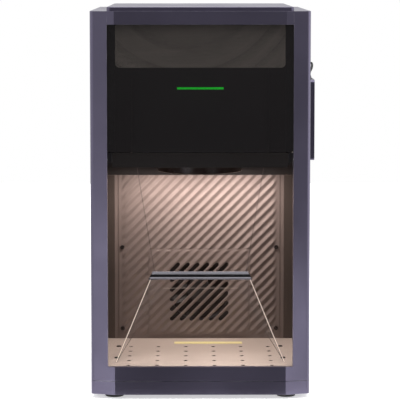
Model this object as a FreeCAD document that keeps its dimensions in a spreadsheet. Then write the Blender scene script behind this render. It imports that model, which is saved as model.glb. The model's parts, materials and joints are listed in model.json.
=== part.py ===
import FreeCAD, Part
import math
import os
from collections import namedtuple
from types import SimpleNamespace

import Sketcher

# A desktop laser cutter: a tall enclosed cabinet with a tinted flip-up door, a perforated
# work bed, a scanning head on a lead-screw lift, an exhaust fan and a side controller.
# Millimetres. +Z is up, +X is to the right seen from the door, and the door faces -Y.
# The origin lies in the standing plane, under the middle of the cabinet.

# Every driving size, with what it is.
SIZES = {
    "body_width": (300, "cabinet, side to side"),
    "body_depth": (390, "cabinet, front to back"),
    "feet_height": (6, "rubber feet"),
    "foot_radius": (13, "rubber feet"),
    "foot_inset": (31.5, "foot centre from the cabinet's side"),
    "foot_setback": (27, "foot centre from the cabinet's front and back"),
    "base_height": (18.2, "base tray's outer wall"),
    "seam_gap": (0.8, "shadow gap between the base and the cabinet"),
    "base_wall": (5, "base tray's wall"),
    "base_floor": (3, "base tray's floor"),
    "lip_inset": (2, "base tray's lip, set in from its outside"),
    "cabinet_height": (505.4, "front frame and panels above the base"),
    "front_flat_width": (234, "flat middle of the front"),
    "facet_setback": (9.7, "how far the front's side facets fall back"),
    "frame_depth": (22, "front frame, front to back"),
    "frame_wall": (3, "front frame's wall"),
    "sill_depth": (8, "front frame's bottom rail, front to back"),
    "sill_height": (19.6, "front frame's bottom rail"),
    "header_height": (18, "front frame's top rail"),
    "window_width": (253.4, "opening of the front frame"),
    "corner_round": (6, "cabinet's upright front corners"),
    "panel_sheet": (3, "side, rear and top panels"),
    "flange_width": (12, "side panels' rear flange"),
    "cap_width": (254.6, "top cap"),
    "cap_rear_gap": (30, "top cap's rear edge from the back"),
    "cap_height": (5.6, "top cap"),
    "cap_setback": (11, "top cap from the front"),
    "cap_round": (6, "top cap's corners"),
    "cap_edge": (0.8, "top cap's rounded rim"),
    "cap_slot_length": (12, "vent slots in the top cap"),
    "cap_slot_width": (4, "vent slots in the top cap"),
    "cap_slot_pitch": (18, "vent slots in the top cap"),
    "cap_slot_gap": (55, "vent slots in the top cap from the back"),
    "glass_setback": (3, "door and upper window, behind the front"),
    "glass_sheet": (4, "door and upper window"),
    "glass_gap": (0.8, "door and upper window to the frame and each other"),
    "door_height": (293.3, "door"),
    "retainer_width": (10.5, "strips that hold the upper window"),
    "retainer_depth": (5, "strips that hold the upper window"),
    "fascia_width": (230.8, "trim plate behind the upper window"),
    "fascia_height": (58, "trim plate behind the upper window"),
    "fascia_sheet": (1.5, "trim plate behind the upper window"),
    "fascia_round": (6, "trim plate's lower corners"),
    "status_length": (63, "status light"),
    "status_height": (2.8, "status light"),
    "status_depth": (3, "status light"),
    "status_level": (426, "status light above the standing plane"),
    "recess_depth": (15, "hand recess in the door"),
    "recess_top_width": (172, "hand recess at its top"),
    "recess_top_drop": (20.5, "hand recess's top below the door's top"),
    "recess_tip_width": (230, "hand recess at its bottom"),
    "recess_tip_rise": (5.8, "hand recess's bottom above the door's bottom"),
    "valley_width": (104, "deepest line of the hand recess"),
    "valley_rise": (105.8, "deepest line above the door's bottom"),
    "grip_rise": (119.8, "grip bar's lower edge above the door's bottom"),
    "grip_height": (11, "grip bar"),
    "grip_low_width": (136, "recess at the grip bar's lower edge"),
    "grip_high_width": (125, "recess at the grip bar's upper edge"),
    "grip_overlap": (3, "grip bar's seat beside the recess"),
    "hinge_drop": (10, "door's hinge axis below its top edge"),
    "hinge_setback": (6.5, "door's hinge axis from the front"),
    "hinge_pin_radius": (1.25, "door's hinge pins"),
    "hinge_pin_length": (11, "door's hinge pins"),
    "hinge_ear_width": (6, "ears of the hinge bar"),
    "hinge_ear_height": (14, "ears of the hinge bar"),
    "hinge_bar_height": (17, "hinge bar"),
    "hinge_bar_depth": (4, "hinge bar"),
    "running_gap": (0.05, "radial clearance of a shaft in its bore"),
    "seat_gap": (0.02, "radial clearance of a fixed pin in its hole"),
    "side_gap": (0.2, "clearance between sheets side by side"),
    "chamber_width": (285.6, "chamber's back wall and bed, side to side"),
    "liner_sheet": (1.2, "chamber's side liners"),
    "liner_top": (505, "chamber's side liners above the standing plane"),
    "light_width": (6, "chamber's light bars"),
    "light_height": (12, "chamber's light bars"),
    "light_length": (245, "chamber's light bars"),
    "light_setback": (5, "light bars from the front frame's rear"),
    "light_level": (318, "light bars' underside above the standing plane"),
    "bed_level": (37.6, "work bed's top above the standing plane"),
    "bed_sheet": (5, "work bed"),
    "bed_setback": (10, "work bed's front edge from the front"),
    "bed_tongue_gap": (1.3, "bed's narrow front to the frame's opening"),
    "bed_hole_radius": (2.1, "tapped holes of the work bed"),
    "bed_hole_pitch": (40, "tapped holes of the work bed"),
    "bed_hole_setback": (53.5, "first row of tapped holes from the front"),
    "bed_screw_spread": (236, "bed's fixing screws, side to side"),
    "bed_screw_radius": (2, "bed's fixing screws"),
    "bed_screw_head": (3.5, "bed's fixing screws, head radius"),
    "bed_screw_head_height": (1.6, "bed's fixing screws"),
    "standoff_radius": (6, "posts under the work bed"),
    "label_width": (100, "blank yellow strip on the bed"),
    "label_depth": (18, "blank yellow strip on the bed"),
    "label_sheet": (0.4, "blank yellow strip on the bed"),
    "label_offset": (13, "blank yellow strip, to the right of the middle"),
    "label_setback": (248, "blank yellow strip's middle from the front"),
    "back_wall_setback": (289, "chamber's back wall from the front"),
    "back_wall_height": (245, "chamber's back wall"),
    "back_wall_sheet": (2.5, "chamber's back wall"),
    "back_screw_spread": (229, "back wall's screws, side to side"),
    "back_screw_low": (53, "back wall's lower screws"),
    "back_screw_high": (175, "back wall's upper screws"),
    "small_screw_radius": (1.5, "panel screws"),
    "small_screw_head": (3.2, "panel screws, head radius"),
    "small_screw_head_height": (1.6, "panel screws"),
    "screw_hole_gap": (0.1, "radial clearance of a screw in its hole"),
    "bulkhead_sheet": (2.5, "steel wall between the chamber and the rear bay"),
    "fan_cover_width": (150.8, "cover over the fan's inlet"),
    "fan_cover_low": (44.5, "cover's lower edge above the standing plane"),
    "fan_cover_height": (127.5, "cover over the fan's inlet"),
    "fan_cover_sheet": (1.5, "cover over the fan's inlet"),
    "fan_cover_round": (8, "cover over the fan's inlet"),
    "grille_half": (40, "half the slotted square of the cover"),
    "grille_pitch": (14.5, "grille slots, measured across the wall"),
    "grille_slot_width": (6, "grille slots"),
    "fan_level": (108.3, "exhaust fan's axis above the standing plane"),
    "fan_size": (92, "exhaust fan's square frame"),
    "fan_depth": (25.4, "exhaust fan's frame"),
    "fan_rim": (2, "fan frame's thinnest wall beside its throat"),
    "fan_arm_root": (1, "fan struts' ends inside the frame"),
    "fan_axle_inset": (9, "axle's tip behind the frame's front"),
    "fan_tip_gap": (1.5, "fan blades to the throat"),
    "fan_hub_radius": (18, "exhaust fan's hub"),
    "fan_hub_plate": (3, "exhaust fan's rear plate and struts"),
    "fan_axle_radius": (2.5, "exhaust fan's axle"),
    "fan_blade_sheet": (2, "exhaust fan's blades"),
    "fan_blade_chord": (19, "exhaust fan's blades"),
    "duct_inset": (5, "outside of the duct inside the fan frame's side"),
    "duct_wall": (3, "duct behind the fan"),
    "spigot_radius": (37, "outside of the hose spigot"),
    "spigot_wall": (2, "hose spigot"),
    "spigot_length": (34, "hose spigot beyond its flange"),
    "spigot_flange": (50, "radius of the hose spigot's flange"),
    "head_width": (190, "scanning head's housing"),
    "head_setback": (50, "head's front from the cabinet's front"),
    "head_depth": (185, "scanning head's housing"),
    "head_low": (314, "head's underside above the standing plane"),
    "head_height": (156, "scanning head's housing"),
    "head_wall": (2.5, "scanning head's housing"),
    "head_round": (8, "scanning head's upright corners"),
    "lens_setback": (145, "lens axis from the cabinet's front"),
    "lens_ring_radius": (59.5, "ring round the lens"),
    "lens_ring_height": (12, "ring round the lens"),
    "lens_radius": (36, "scan lens"),
    "lens_height": (7, "scan lens"),
    "lens_step": (2, "lens seat in its ring"),
    "head_hole_radius": (40, "hole in the head's floor"),
    "block_half": (45, "half the mirror block's width and depth"),
    "block_height": (55, "mirror block"),
    "block_cavity": (30, "radius of the mirror block's cavity"),
    "block_roof": (14, "mirror block above its cavity"),
    "beam_rise": (28, "beam above the head's floor"),
    "beam_offset": (22, "beam from the laser, to the left of the lens axis"),
    "beam_radius": (8, "beam's hole in the mirror block"),
    "galvo_radius": (9.5, "mirror motors"),
    "galvo_length": (45, "mirror motors"),
    "galvo_shaft_radius": (1.5, "mirror shafts"),
    "galvo_shaft_depth": (8, "mirror shafts inside their motors"),
    "galvo_bore_spare": (2, "mirror motors' bores beyond the shafts' ends"),
    "mirror_length": (14, "scanning mirrors"),
    "mirror_sheet": (1.5, "scanning mirrors"),
    "laser_width": (80, "laser module"),
    "laser_depth": (36, "laser module"),
    "laser_height": (140, "laser module"),
    "rail_spread": (100, "lift rails, centre to centre"),
    "rail_width": (12, "lift rails"),
    "rail_height": (8, "lift rails, off the bulkhead"),
    "rail_low": (291, "lift rails' lower end"),
    "rail_length": (215, "lift rails"),
    "block_width": (27, "rail blocks"),
    "block_reach": (18.5, "rail blocks' front, off the bulkhead"),
    "block_cover": (5.5, "rail blocks' rear face, off the bulkhead"),
    "block_tall": (22, "rail blocks"),
    "block_gap": (4, "between the two rail blocks of a side"),
    "carriage_low": (392, "lift carriage's lower edge"),
    "carriage_height": (56, "lift carriage"),
    "carriage_sheet": (6, "lift carriage's plate"),
    "shelf_rise": (28, "carriage's nut shelf above its lower edge"),
    "shelf_sheet": (8, "carriage's nut shelf"),
    "shelf_width": (36, "carriage's nut shelf"),
    "shelf_lip": (3, "carriage's shelf behind the nut's flange"),
    "screw_offset": (24.5, "lead screw's axis, off the bulkhead"),
    "screw_radius": (4, "lead screw"),
    "screw_bottom": (291, "lead screw's lower end"),
    "nut_radius": (6, "lead nut's body"),
    "nut_flange": (11, "lead nut's flange"),
    "nut_flange_sheet": (4, "lead nut's flange"),
    "nut_length": (12, "lead nut's body"),
    "bearing_low": (292, "lead screw's foot bearing"),
    "bearing_height": (11, "lead screw's foot bearing"),
    "bearing_width": (28, "lead screw's foot bearing"),
    "motor_size": (42.3, "lift motor"),
    "motor_low": (486, "lift motor's mounting face"),
    "motor_height": (34, "lift motor"),
    "motor_bore_depth": (18, "lead screw inside the lift motor"),
    "screw_end_gap": (3, "motor's bore beyond the lead screw's end"),
    "motor_round": (3, "lift motor's upright corners"),
    "bracket_sheet": (3, "lift motor's bracket"),
    "bracket_width": (48, "lift motor's bracket"),
    "bracket_drop": (28, "lift motor's bracket down the bulkhead"),
    "supply_width": (85, "power supply"),
    "supply_depth": (46, "power supply"),
    "supply_height": (150, "power supply"),
    "supply_low": (40, "power supply's underside"),
    "supply_centre": (97.5, "power supply, to the left of the middle"),
    "board_width": (80, "control board"),
    "board_height": (140, "control board"),
    "board_sheet": (1.6, "control board"),
    "board_low": (60, "control board's lower edge"),
    "board_centre": (98, "control board, to the right of the middle"),
    "board_post_radius": (3, "posts under the control board"),
    "board_post_length": (8, "posts under the control board"),
    "board_post_inset": (6, "posts from the board's edges"),
    "heat_sink_inset": (20, "driver heat sink from the board's sides"),
    "heat_sink_height": (34, "driver heat sink"),
    "heat_sink_depth": (16, "driver heat sink"),
    "socket_row_inset": (13.3, "row of sockets from the board's sides"),
    "socket_row_height": (8, "row of sockets"),
    "socket_row_depth": (8, "row of sockets"),
    "inlet_centre": (100, "power inlet, to the left of the middle"),
    "inlet_level": (80, "power inlet's middle"),
    "inlet_flange_width": (32, "power inlet's flange"),
    "inlet_flange_height": (70, "power inlet's flange"),
    "inlet_flange_sheet": (2.5, "power inlet's flange"),
    "inlet_body_width": (27, "power inlet behind the panel"),
    "inlet_body_height": (60, "power inlet behind the panel"),
    "inlet_body_depth": (22, "power inlet behind the panel"),
    "socket_width": (24.4, "power inlet's socket"),
    "socket_height": (16.4, "power inlet's socket"),
    "socket_depth": (15, "power inlet's socket"),
    "socket_drop": (15, "socket's middle below the inlet's middle"),
    "inlet_pin_width": (2, "power inlet's pins"),
    "inlet_pin_height": (4, "power inlet's pins"),
    "inlet_pin_spread": (14, "power inlet's outer pins, centre to centre"),
    "inlet_pin_raise": (4, "power inlet's middle pin above the outer two"),
    "inlet_pin_shy": (3, "power inlet's pins below the flange's face"),
    "rocker_rise": (13, "rocker's middle above the inlet's middle"),
    "rocker_width": (19.6, "power rocker"),
    "rocker_half_height": (11.5, "half of the power rocker"),
    "rocker_bay_half": (13, "half the height of the rocker's bay"),
    "rocker_pivot_depth": (5, "rocker's pivot inside the rear face"),
    "rocker_bay_depth": (14.75, "rocker's bay"),
    "rocker_proud": (1, "rocker's ends beyond the inlet's face"),
    "rocker_pin_radius": (1.5, "rocker's pivot pins"),
    "controller_depth": (70, "controller, front to back"),
    "controller_height": (115, "controller"),
    "controller_sheet": (14, "controller, off the side panel"),
    "controller_low": (315, "controller's lower edge"),
    "controller_setback": (165, "controller's front edge from the front"),
    "controller_round": (5, "controller's corners"),
    "screen_margin": (6, "screen to the controller's edges"),
    "screen_height": (78, "controller's screen"),
    "screen_sheet": (1, "controller's screen"),
    "button_radius": (7, "controller's button"),
    "button_level": (15, "button above the controller's lower edge"),
    "button_well": (6, "button's well"),
    "button_proud": (1, "button above the controller's face"),
    "button_travel": (0.8, "button's travel"),
    "cable_radius": (1.6, "controller's cable"),
    "plug_radius": (5, "cable's socket on the side panel"),
    "plug_height": (4, "cable's socket on the side panel"),
    "plug_level": (452, "cable's socket above the standing plane"),
    "plug_setback": (59.5, "cable's socket from the controller's front edge"),
    "vent_length": (60, "vent slots in the side panels"),
    "vent_width": (4, "vent slots in the side panels"),
    "vent_pitch": (12, "vent slots in the side panels"),
    "vent_low": (60, "lowest vent slot in the side panels"),
    "vent_start": (305, "vent slots from the front"),
    "panel_screw_low": (60, "lowest screws of the rear panel"),
    "panel_screw_pitch": (135, "screws of the rear panel"),
    "magnet_radius": (3, "door's magnet"),
    "magnet_sheet": (3, "door's magnet"),
    "sensor_height": (10, "door's sensor"),
    "sensor_depth": (6, "door's sensor"),
}

BED_COLUMNS = 6
BED_ROWS = 5
BED_SCREW_SETBACKS = (25, 115, 215)
CAP_SLOTS = 7
SIDE_VENTS = 12
FAN_BLADES = 7
PANEL_SCREW_ROWS = 4
GRILLE_SLOTS_EACH_WAY = 5
FAN_BLADE_PITCH_DEG = 35
ROCKER_TILT_DEG = 8
SIDES = (-1, 1)
HALF_ROOT_TWO = math.sqrt(0.5)
CLOSE = 0.01


class Size:
    """A length worked out from the sheet: its number, and the text that binds it."""

    def __init__(self, number, text):
        self.number = number
        self.text = text

    def __add__(self, other):
        other = as_size(other)
        return Size(self.number + other.number, f"({self.text} + {other.text})")

    def __radd__(self, other):
        return as_size(other) + self

    def __sub__(self, other):
        other = as_size(other)
        return Size(self.number - other.number, f"({self.text} - {other.text})")

    def __rsub__(self, other):
        return as_size(other) - self

    def __mul__(self, factor):
        return Size(self.number * factor, f"({self.text} * ({factor}))")

    def __rmul__(self, factor):
        return self * factor

    def __truediv__(self, divisor):
        return Size(self.number / divisor, f"({self.text} / {divisor})")

    def __neg__(self):
        return Size(-self.number, f"(-{self.text})")


def as_size(value):
    """A plain number as a Size."""
    if isinstance(value, Size):
        return value
    return Size(value, f"({value})")


doc = FreeCAD.newDocument("desktop_laser_cutter")
sheet = doc.addObject("Spreadsheet::Sheet", "Sizes")
d = SimpleNamespace()
for row, (alias, (millimetres, meaning)) in enumerate(SIZES.items(), start=1):
    sheet.set(f"A{row}", str(millimetres))
    sheet.setAlias(f"A{row}", alias)
    sheet.set(f"B{row}", meaning)
    setattr(d, alias, Size(millimetres, f"Sizes.{alias}"))
doc.recompute()

# Places that several pieces share.
FRONT = -d.body_depth / 2
BACK = d.body_depth / 2
SIDE = d.body_width / 2
PANEL_INSIDE = SIDE - d.panel_sheet
BASE_TOP = d.feet_height + d.base_height
CABINET_LOW = BASE_TOP + d.seam_gap
CABINET_TOP = CABINET_LOW + d.cabinet_height
TRAY_FLOOR = d.feet_height + d.base_floor
FRAME_REAR = FRONT + d.frame_depth
WINDOW_HALF = d.window_width / 2
WINDOW_LOW = CABINET_LOW + d.sill_height
WINDOW_TOP = CABINET_TOP - d.header_height
GLASS_FRONT = FRONT + d.glass_setback
GLASS_REAR = GLASS_FRONT + d.glass_sheet
DOOR_HALF = WINDOW_HALF - d.glass_gap
DOOR_LOW = WINDOW_LOW + d.glass_gap
DOOR_TOP = DOOR_LOW + d.door_height
UPPER_LOW = DOOR_TOP + d.glass_gap
HINGE_Y = FRONT + d.hinge_setback
HINGE_Z = DOOR_TOP - d.hinge_drop
BULKHEAD_FRONT = FRONT + d.back_wall_setback + d.back_wall_sheet
BULKHEAD_REAR = BULKHEAD_FRONT + d.bulkhead_sheet
BACK_WALL_FRONT = FRONT + d.back_wall_setback
REAR_INSIDE = BACK - d.panel_sheet
LINER_INSIDE = d.chamber_width / 2 + d.side_gap
LENS_Y = FRONT + d.lens_setback
HEAD_FRONT = FRONT + d.head_setback
HEAD_REAR = HEAD_FRONT + d.head_depth
HEAD_FLOOR = d.head_low + d.head_wall
BEAM_Z = HEAD_FLOOR + d.beam_rise
SCREW_Y = BULKHEAD_FRONT - d.screw_offset
FAN_REAR = BULKHEAD_REAR + d.fan_depth
FAN_BORE = d.fan_size / 2 - d.fan_rim
DUCT_RADIUS = d.fan_size / 2 - d.duct_inset

Disc = namedtuple("Disc", "x y radius")


def origin_plane(body, role):
    """One of the body's own origin planes."""
    return next(plane for plane in body.Origin.OriginFeatures if plane.Role == role)


def new_body(label):
    """An empty body, named as its file will be."""
    body = doc.addObject("PartDesign::Body", label)
    body.Label = label
    return body


def bind_point(sketch, geometry, end, x, y):
    """Ties one point of a sketch to its sizes."""
    for kind, size in (("DistanceX", as_size(x)), ("DistanceY", as_size(y))):
        rule = Sketcher.Constraint(kind, -1, 1, geometry, end, size.number)
        index = sketch.addConstraint(rule)
        sketch.setExpression(f"Constraints[{index}]", size.text)


def draw_outline(sketch, points):
    """A closed outline of straight sides."""
    first = sketch.GeometryCount
    corners = [FreeCAD.Vector(as_size(x).number, as_size(y).number, 0) for x, y in points]
    for start, end in zip(corners, corners[1:] + corners[:1]):
        sketch.addGeometry(Part.LineSegment(start, end), False)
    for side in range(len(points)):
        following = first + (side + 1) % len(points)
        sketch.addConstraint(Sketcher.Constraint("Coincident", first + side, 2, following, 1))
    for side, (x, y) in enumerate(points):
        bind_point(sketch, first + side, 1, x, y)


def draw_disc(sketch, disc):
    """A full circle."""
    centre = FreeCAD.Vector(as_size(disc.x).number, as_size(disc.y).number, 0)
    radius = as_size(disc.radius)
    circle = Part.Circle(centre, FreeCAD.Vector(0, 0, 1), radius.number)
    geometry = sketch.addGeometry(circle, False)
    index = sketch.addConstraint(Sketcher.Constraint("Radius", geometry, radius.number))
    sketch.setExpression(f"Constraints[{index}]", radius.text)
    bind_point(sketch, geometry, 3, disc.x, disc.y)


def draw_profile(body, plane, offset, shapes):
    """A sketch parallel to a plane of the body, a signed distance along its normal."""
    sketch = body.newObject("Sketcher::SketchObject", f"{body.Label}_outline")
    sketch.AttachmentSupport = [(origin_plane(body, f"{plane}_Plane"), "")]
    sketch.MapMode = "FlatFace"
    sketch.setExpression("AttachmentOffset.Base.z", as_size(offset).text)
    for shape in shapes:
        if isinstance(shape, Disc):
            draw_disc(sketch, shape)
        else:
            draw_outline(sketch, shape)
    return sketch


def add(body, plane, low, high, *shapes):
    """Material between two places along the plane's axis. XZ outlines face the door."""
    low, high = as_size(low), as_size(high)
    start = -high if plane == "XZ" else low
    pad = body.newObject("PartDesign::Pad", f"{body.Label}_pad")
    pad.Profile = draw_profile(body, plane, start, shapes)
    pad.setExpression("Length", (high - low).text)
    return pad


def cut(body, plane, low, high, *shapes):
    """Material taken away between two places along the plane's axis."""
    low, high = as_size(low), as_size(high)
    start = -low if plane == "XZ" else high
    pocket = body.newObject("PartDesign::Pocket", f"{body.Label}_pocket")
    pocket.Profile = draw_profile(body, plane, start, shapes)
    pocket.setExpression("Length", (high - low).text)
    return pocket


def rectangle(left, right, low, high):
    """Four corners of a rectangle."""
    return [(left, low), (right, low), (right, high), (left, high)]


def centred(width, low, high):
    """A rectangle across the middle."""
    return rectangle(-width / 2, width / 2, low, high)


def edges_at(feature, test):
    """The names of the feature's straight or round edges whose middle passes the test."""
    shape = feature.Shape
    return [f"Edge{i}" for i, edge in enumerate(shape.Edges, start=1) if test(edge)]


def round_edges(body, size, test):
    """Rounds the edges of the body that pass the test."""
    doc.recompute()
    base = body.Tip
    fillet = body.newObject("PartDesign::Fillet", f"{body.Label}_round")
    fillet.Base = (base, edges_at(base, test))
    fillet.setExpression("Radius", as_size(size).text)


def is_upright(edge):
    """True for a straight edge that runs up and down."""
    if not isinstance(edge.Curve, Part.Line):
        return False
    return abs(edge.tangentAt(edge.FirstParameter).z) > 0.999


def upright_corner(x, y):
    """A test for the upright edges at plus and minus x, at one y."""
    def test(edge):
        middle = edge.CenterOfMass
        near = abs(abs(middle.x) - x.number) < CLOSE and abs(middle.y - y.number) < CLOSE
        return is_upright(edge) and near
    return test


def plan(inset, back):
    """The cabinet's outline from above: a flat front, a facet each side and a square back."""
    side = SIDE - inset
    flat = d.front_flat_width / 2
    front = FRONT + inset
    facet = front + d.facet_setback
    return [(-side, back), (-side, facet), (-flat, front), (flat, front), (side, facet), (side, back)]


def turned(points, angle_deg, y, z):
    """Points about a pivot, turned about the pivot and put in place."""
    cosine = math.cos(math.radians(angle_deg))
    sine = math.sin(math.radians(angle_deg))
    return [(y + a * cosine - b * sine, z + a * sine + b * cosine) for a, b in points]


# Base, feet and cabinet.

def ear_inner():
    """The inner side of the hinge bar's right ear."""
    return DOOR_HALF - d.hinge_ear_width + d.side_gap


def hinge_pin_end():
    """The outer end of the right hinge pin."""
    return ear_inner() + d.seat_gap + d.hinge_pin_length


def make_base_tray():
    body = new_body("base_tray")
    add(body, "XY", d.feet_height, BASE_TOP, plan(0, BACK))
    add(body, "XY", BASE_TOP, CABINET_LOW, plan(d.lip_inset, BACK - d.lip_inset))
    cut(body, "XY", TRAY_FLOOR, CABINET_LOW, plan(d.base_wall, BACK - d.base_wall))
    round_edges(body, d.corner_round, upright_corner(SIDE, FRONT + d.facet_setback))
    round_edges(body, d.corner_round, upright_corner(SIDE, BACK))


def make_rubber_feet():
    body = new_body("rubber_feet")
    x = SIDE - d.foot_inset
    places = [(side * x, y) for side in SIDES for y in (FRONT + d.foot_setback, BACK - d.foot_setback)]
    add(body, "XY", 0, d.feet_height, *[Disc(px, py, d.foot_radius) for px, py in places])


def make_front_frame():
    body = new_body("front_frame")
    add(body, "XY", CABINET_LOW, CABINET_TOP, plan(0, FRAME_REAR))
    cut(body, "XZ", FRONT, FRAME_REAR, rectangle(-WINDOW_HALF, WINDOW_HALF, WINDOW_LOW, WINDOW_TOP))
    cut(body, "XZ", FRONT + d.sill_depth, FRAME_REAR,
        rectangle(-WINDOW_HALF, WINDOW_HALF, CABINET_LOW, WINDOW_LOW))
    cut(body, "XZ", FRONT + d.frame_wall, FRAME_REAR,
        rectangle(-WINDOW_HALF, WINDOW_HALF, WINDOW_TOP + d.frame_wall, CABINET_TOP - d.frame_wall))
    inner = WINDOW_HALF + d.frame_wall
    outer = SIDE - d.frame_wall
    facet = FRONT + d.facet_setback + d.frame_wall
    channels = [
        [(side * inner, FRAME_REAR), (side * inner, facet - d.frame_wall),
         (side * outer, facet), (side * outer, FRAME_REAR)]
        for side in SIDES
    ]
    cut(body, "XY", WINDOW_LOW, WINDOW_TOP, *channels)
    reach = hinge_pin_end() + d.side_gap
    cut(body, "YZ", -reach, reach, Disc(HINGE_Y, HINGE_Z, d.hinge_pin_radius + d.running_gap))
    round_edges(body, d.corner_round, upright_corner(SIDE, FRONT + d.facet_setback))


def side_vents():
    start = FRONT + d.vent_start
    slots = []
    for level in range(SIDE_VENTS):
        low = d.vent_low + d.vent_pitch * level
        slots.append(rectangle(start, start + d.vent_length, low, low + d.vent_width))
    return slots


def make_side_panel(label, side):
    body = new_body(label)
    wall = rectangle(FRAME_REAR, BACK, CABINET_LOW, CABINET_TOP)
    low, high = (PANEL_INSIDE, SIDE) if side > 0 else (-SIDE, -PANEL_INSIDE)
    add(body, "YZ", low, high, wall)
    cut(body, "YZ", low, high, *side_vents())
    inner = side * (PANEL_INSIDE - d.flange_width)
    flange = rectangle(inner, side * PANEL_INSIDE, REAR_INSIDE - d.panel_sheet, REAR_INSIDE)
    add(body, "XY", CABINET_LOW, CABINET_TOP - d.panel_sheet, flange)
    holes = [Disc(side * flange_middle(), level, screw_hole_radius()) for level in panel_screw_levels()]
    cut(body, "XZ", REAR_INSIDE - d.panel_sheet, REAR_INSIDE, *holes)
    if side > 0:
        hole = Disc(plug_y(), d.plug_level, d.cable_radius + d.screw_hole_gap)
        cut(body, "YZ", low, high, hole)
    return body


def flange_middle():
    return PANEL_INSIDE - d.flange_width / 2


def screw_hole_radius():
    return d.small_screw_radius + d.screw_hole_gap


def panel_screw_levels():
    return [d.panel_screw_low + d.panel_screw_pitch * row for row in range(PANEL_SCREW_ROWS)]


def make_rear_panel():
    body = new_body("rear_panel")
    top = CABINET_TOP - d.panel_sheet
    add(body, "XZ", REAR_INSIDE, BACK, rectangle(-PANEL_INSIDE, PANEL_INSIDE, CABINET_LOW, top))
    cut(body, "XZ", REAR_INSIDE, BACK, Disc(0, d.fan_level, d.spigot_radius - d.spigot_wall))
    middle = -d.inlet_centre
    half = d.inlet_body_width / 2 + d.side_gap
    tall = d.inlet_body_height / 2 + d.side_gap
    hole = rectangle(middle - half, middle + half, d.inlet_level - tall, d.inlet_level + tall)
    cut(body, "XZ", REAR_INSIDE, BACK, hole)
    holes = [Disc(side * flange_middle(), level, screw_hole_radius())
             for side in SIDES for level in panel_screw_levels()]
    cut(body, "XZ", REAR_INSIDE, BACK, *holes)


def make_rear_panel_screws():
    body = new_body("rear_panel_screws")
    places = [(side * flange_middle(), level) for side in SIDES for level in panel_screw_levels()]
    heads = [Disc(x, z, d.small_screw_head) for x, z in places]
    shanks = [Disc(x, z, d.small_screw_radius) for x, z in places]
    add(body, "XZ", BACK, BACK + d.small_screw_head_height, *heads)
    add(body, "XZ", REAR_INSIDE - d.panel_sheet, BACK, *shanks)


def cap_slots():
    middle = BACK - d.cap_slot_gap
    low, high = middle - d.cap_slot_width / 2, middle + d.cap_slot_width / 2
    slots = []
    for number in range(CAP_SLOTS):
        x = d.cap_slot_pitch * (number - (CAP_SLOTS - 1) / 2)
        half = d.cap_slot_length / 2
        slots.append(rectangle(x - half, x + half, low, high))
    return slots


def make_top_panel():
    body = new_body("top_panel")
    low = CABINET_TOP - d.panel_sheet
    add(body, "XY", low, CABINET_TOP, rectangle(-PANEL_INSIDE, PANEL_INSIDE, FRAME_REAR, BACK))
    cut(body, "XY", low, CABINET_TOP, *cap_slots())


def make_top_cap():
    body = new_body("top_cap")
    front = FRONT + d.cap_setback
    back = BACK - d.cap_rear_gap
    top = CABINET_TOP + d.cap_height
    add(body, "XY", CABINET_TOP, top, centred(d.cap_width, front, back))
    half = d.cap_width / 2
    round_edges(body, d.cap_round, upright_corner(half, front))
    round_edges(body, d.cap_round, upright_corner(half, back))
    round_edges(body, d.cap_edge, lambda edge: edge.CenterOfMass.z > top.number - CLOSE)
    cut(body, "XY", CABINET_TOP, top, *cap_slots())


# Chamber: bulkhead, back wall, liners, lights and bed.

def board_posts():
    x_reach = d.board_width / 2 - d.board_post_inset
    low = d.board_low + d.board_post_inset
    high = d.board_low + d.board_height - d.board_post_inset
    return [Disc(d.board_centre + side * x_reach, z, d.board_post_radius)
            for side in SIDES for z in (low, high)]


def back_screw_places():
    half = d.back_screw_spread / 2
    return [(side * half, z) for side in SIDES for z in (d.back_screw_low, d.back_screw_high)]


def make_bulkhead():
    body = new_body("bulkhead")
    half = PANEL_INSIDE - d.side_gap
    top = CABINET_TOP - d.panel_sheet
    add(body, "XZ", BULKHEAD_FRONT, BULKHEAD_REAR, rectangle(-half, half, CABINET_LOW, top))
    add(body, "XZ", BULKHEAD_REAR, BULKHEAD_REAR + d.board_post_length, *board_posts())
    holes = [Disc(x, z, screw_hole_radius()) for x, z in back_screw_places()]
    cut(body, "XZ", BULKHEAD_FRONT, BULKHEAD_REAR, Disc(0, d.fan_level, FAN_BORE), *holes)


def make_back_wall():
    body = new_body("back_wall")
    low = d.bed_level + d.side_gap
    outline = centred(d.chamber_width, low, low + d.back_wall_height)
    add(body, "XZ", BACK_WALL_FRONT, BULKHEAD_FRONT, outline)
    holes = [Disc(x, z, screw_hole_radius()) for x, z in back_screw_places()]
    cut(body, "XZ", BACK_WALL_FRONT, BULKHEAD_FRONT, Disc(0, d.fan_level, FAN_BORE), *holes)


def make_back_wall_screws():
    body = new_body("back_wall_screws")
    heads = [Disc(x, z, d.small_screw_head) for x, z in back_screw_places()]
    shanks = [Disc(x, z, d.small_screw_radius) for x, z in back_screw_places()]
    add(body, "XZ", BACK_WALL_FRONT - d.small_screw_head_height, BACK_WALL_FRONT, *heads)
    add(body, "XZ", BACK_WALL_FRONT, BULKHEAD_REAR, *shanks)


def grille_slots():
    """Slanted slots that fill a square in front of the fan."""
    half_across = d.grille_slot_width * HALF_ROOT_TWO / 2
    reach = d.grille_half
    slots = []
    for number in range(-GRILLE_SLOTS_EACH_WAY, GRILLE_SLOTS_EACH_WAY + 1):
        shift = d.grille_pitch * number
        if abs(shift.number) >= 2 * reach.number - d.grille_slot_width.number:
            continue
        left = -reach + (shift if number > 0 else 0)
        right = reach + (shift if number < 0 else 0)
        low = d.fan_level + left - shift
        high = d.fan_level + right - shift
        slots.append([(left + half_across, low - half_across), (right + half_across, high - half_across),
                      (right - half_across, high + half_across), (left - half_across, low + half_across)])
    return slots


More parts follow.
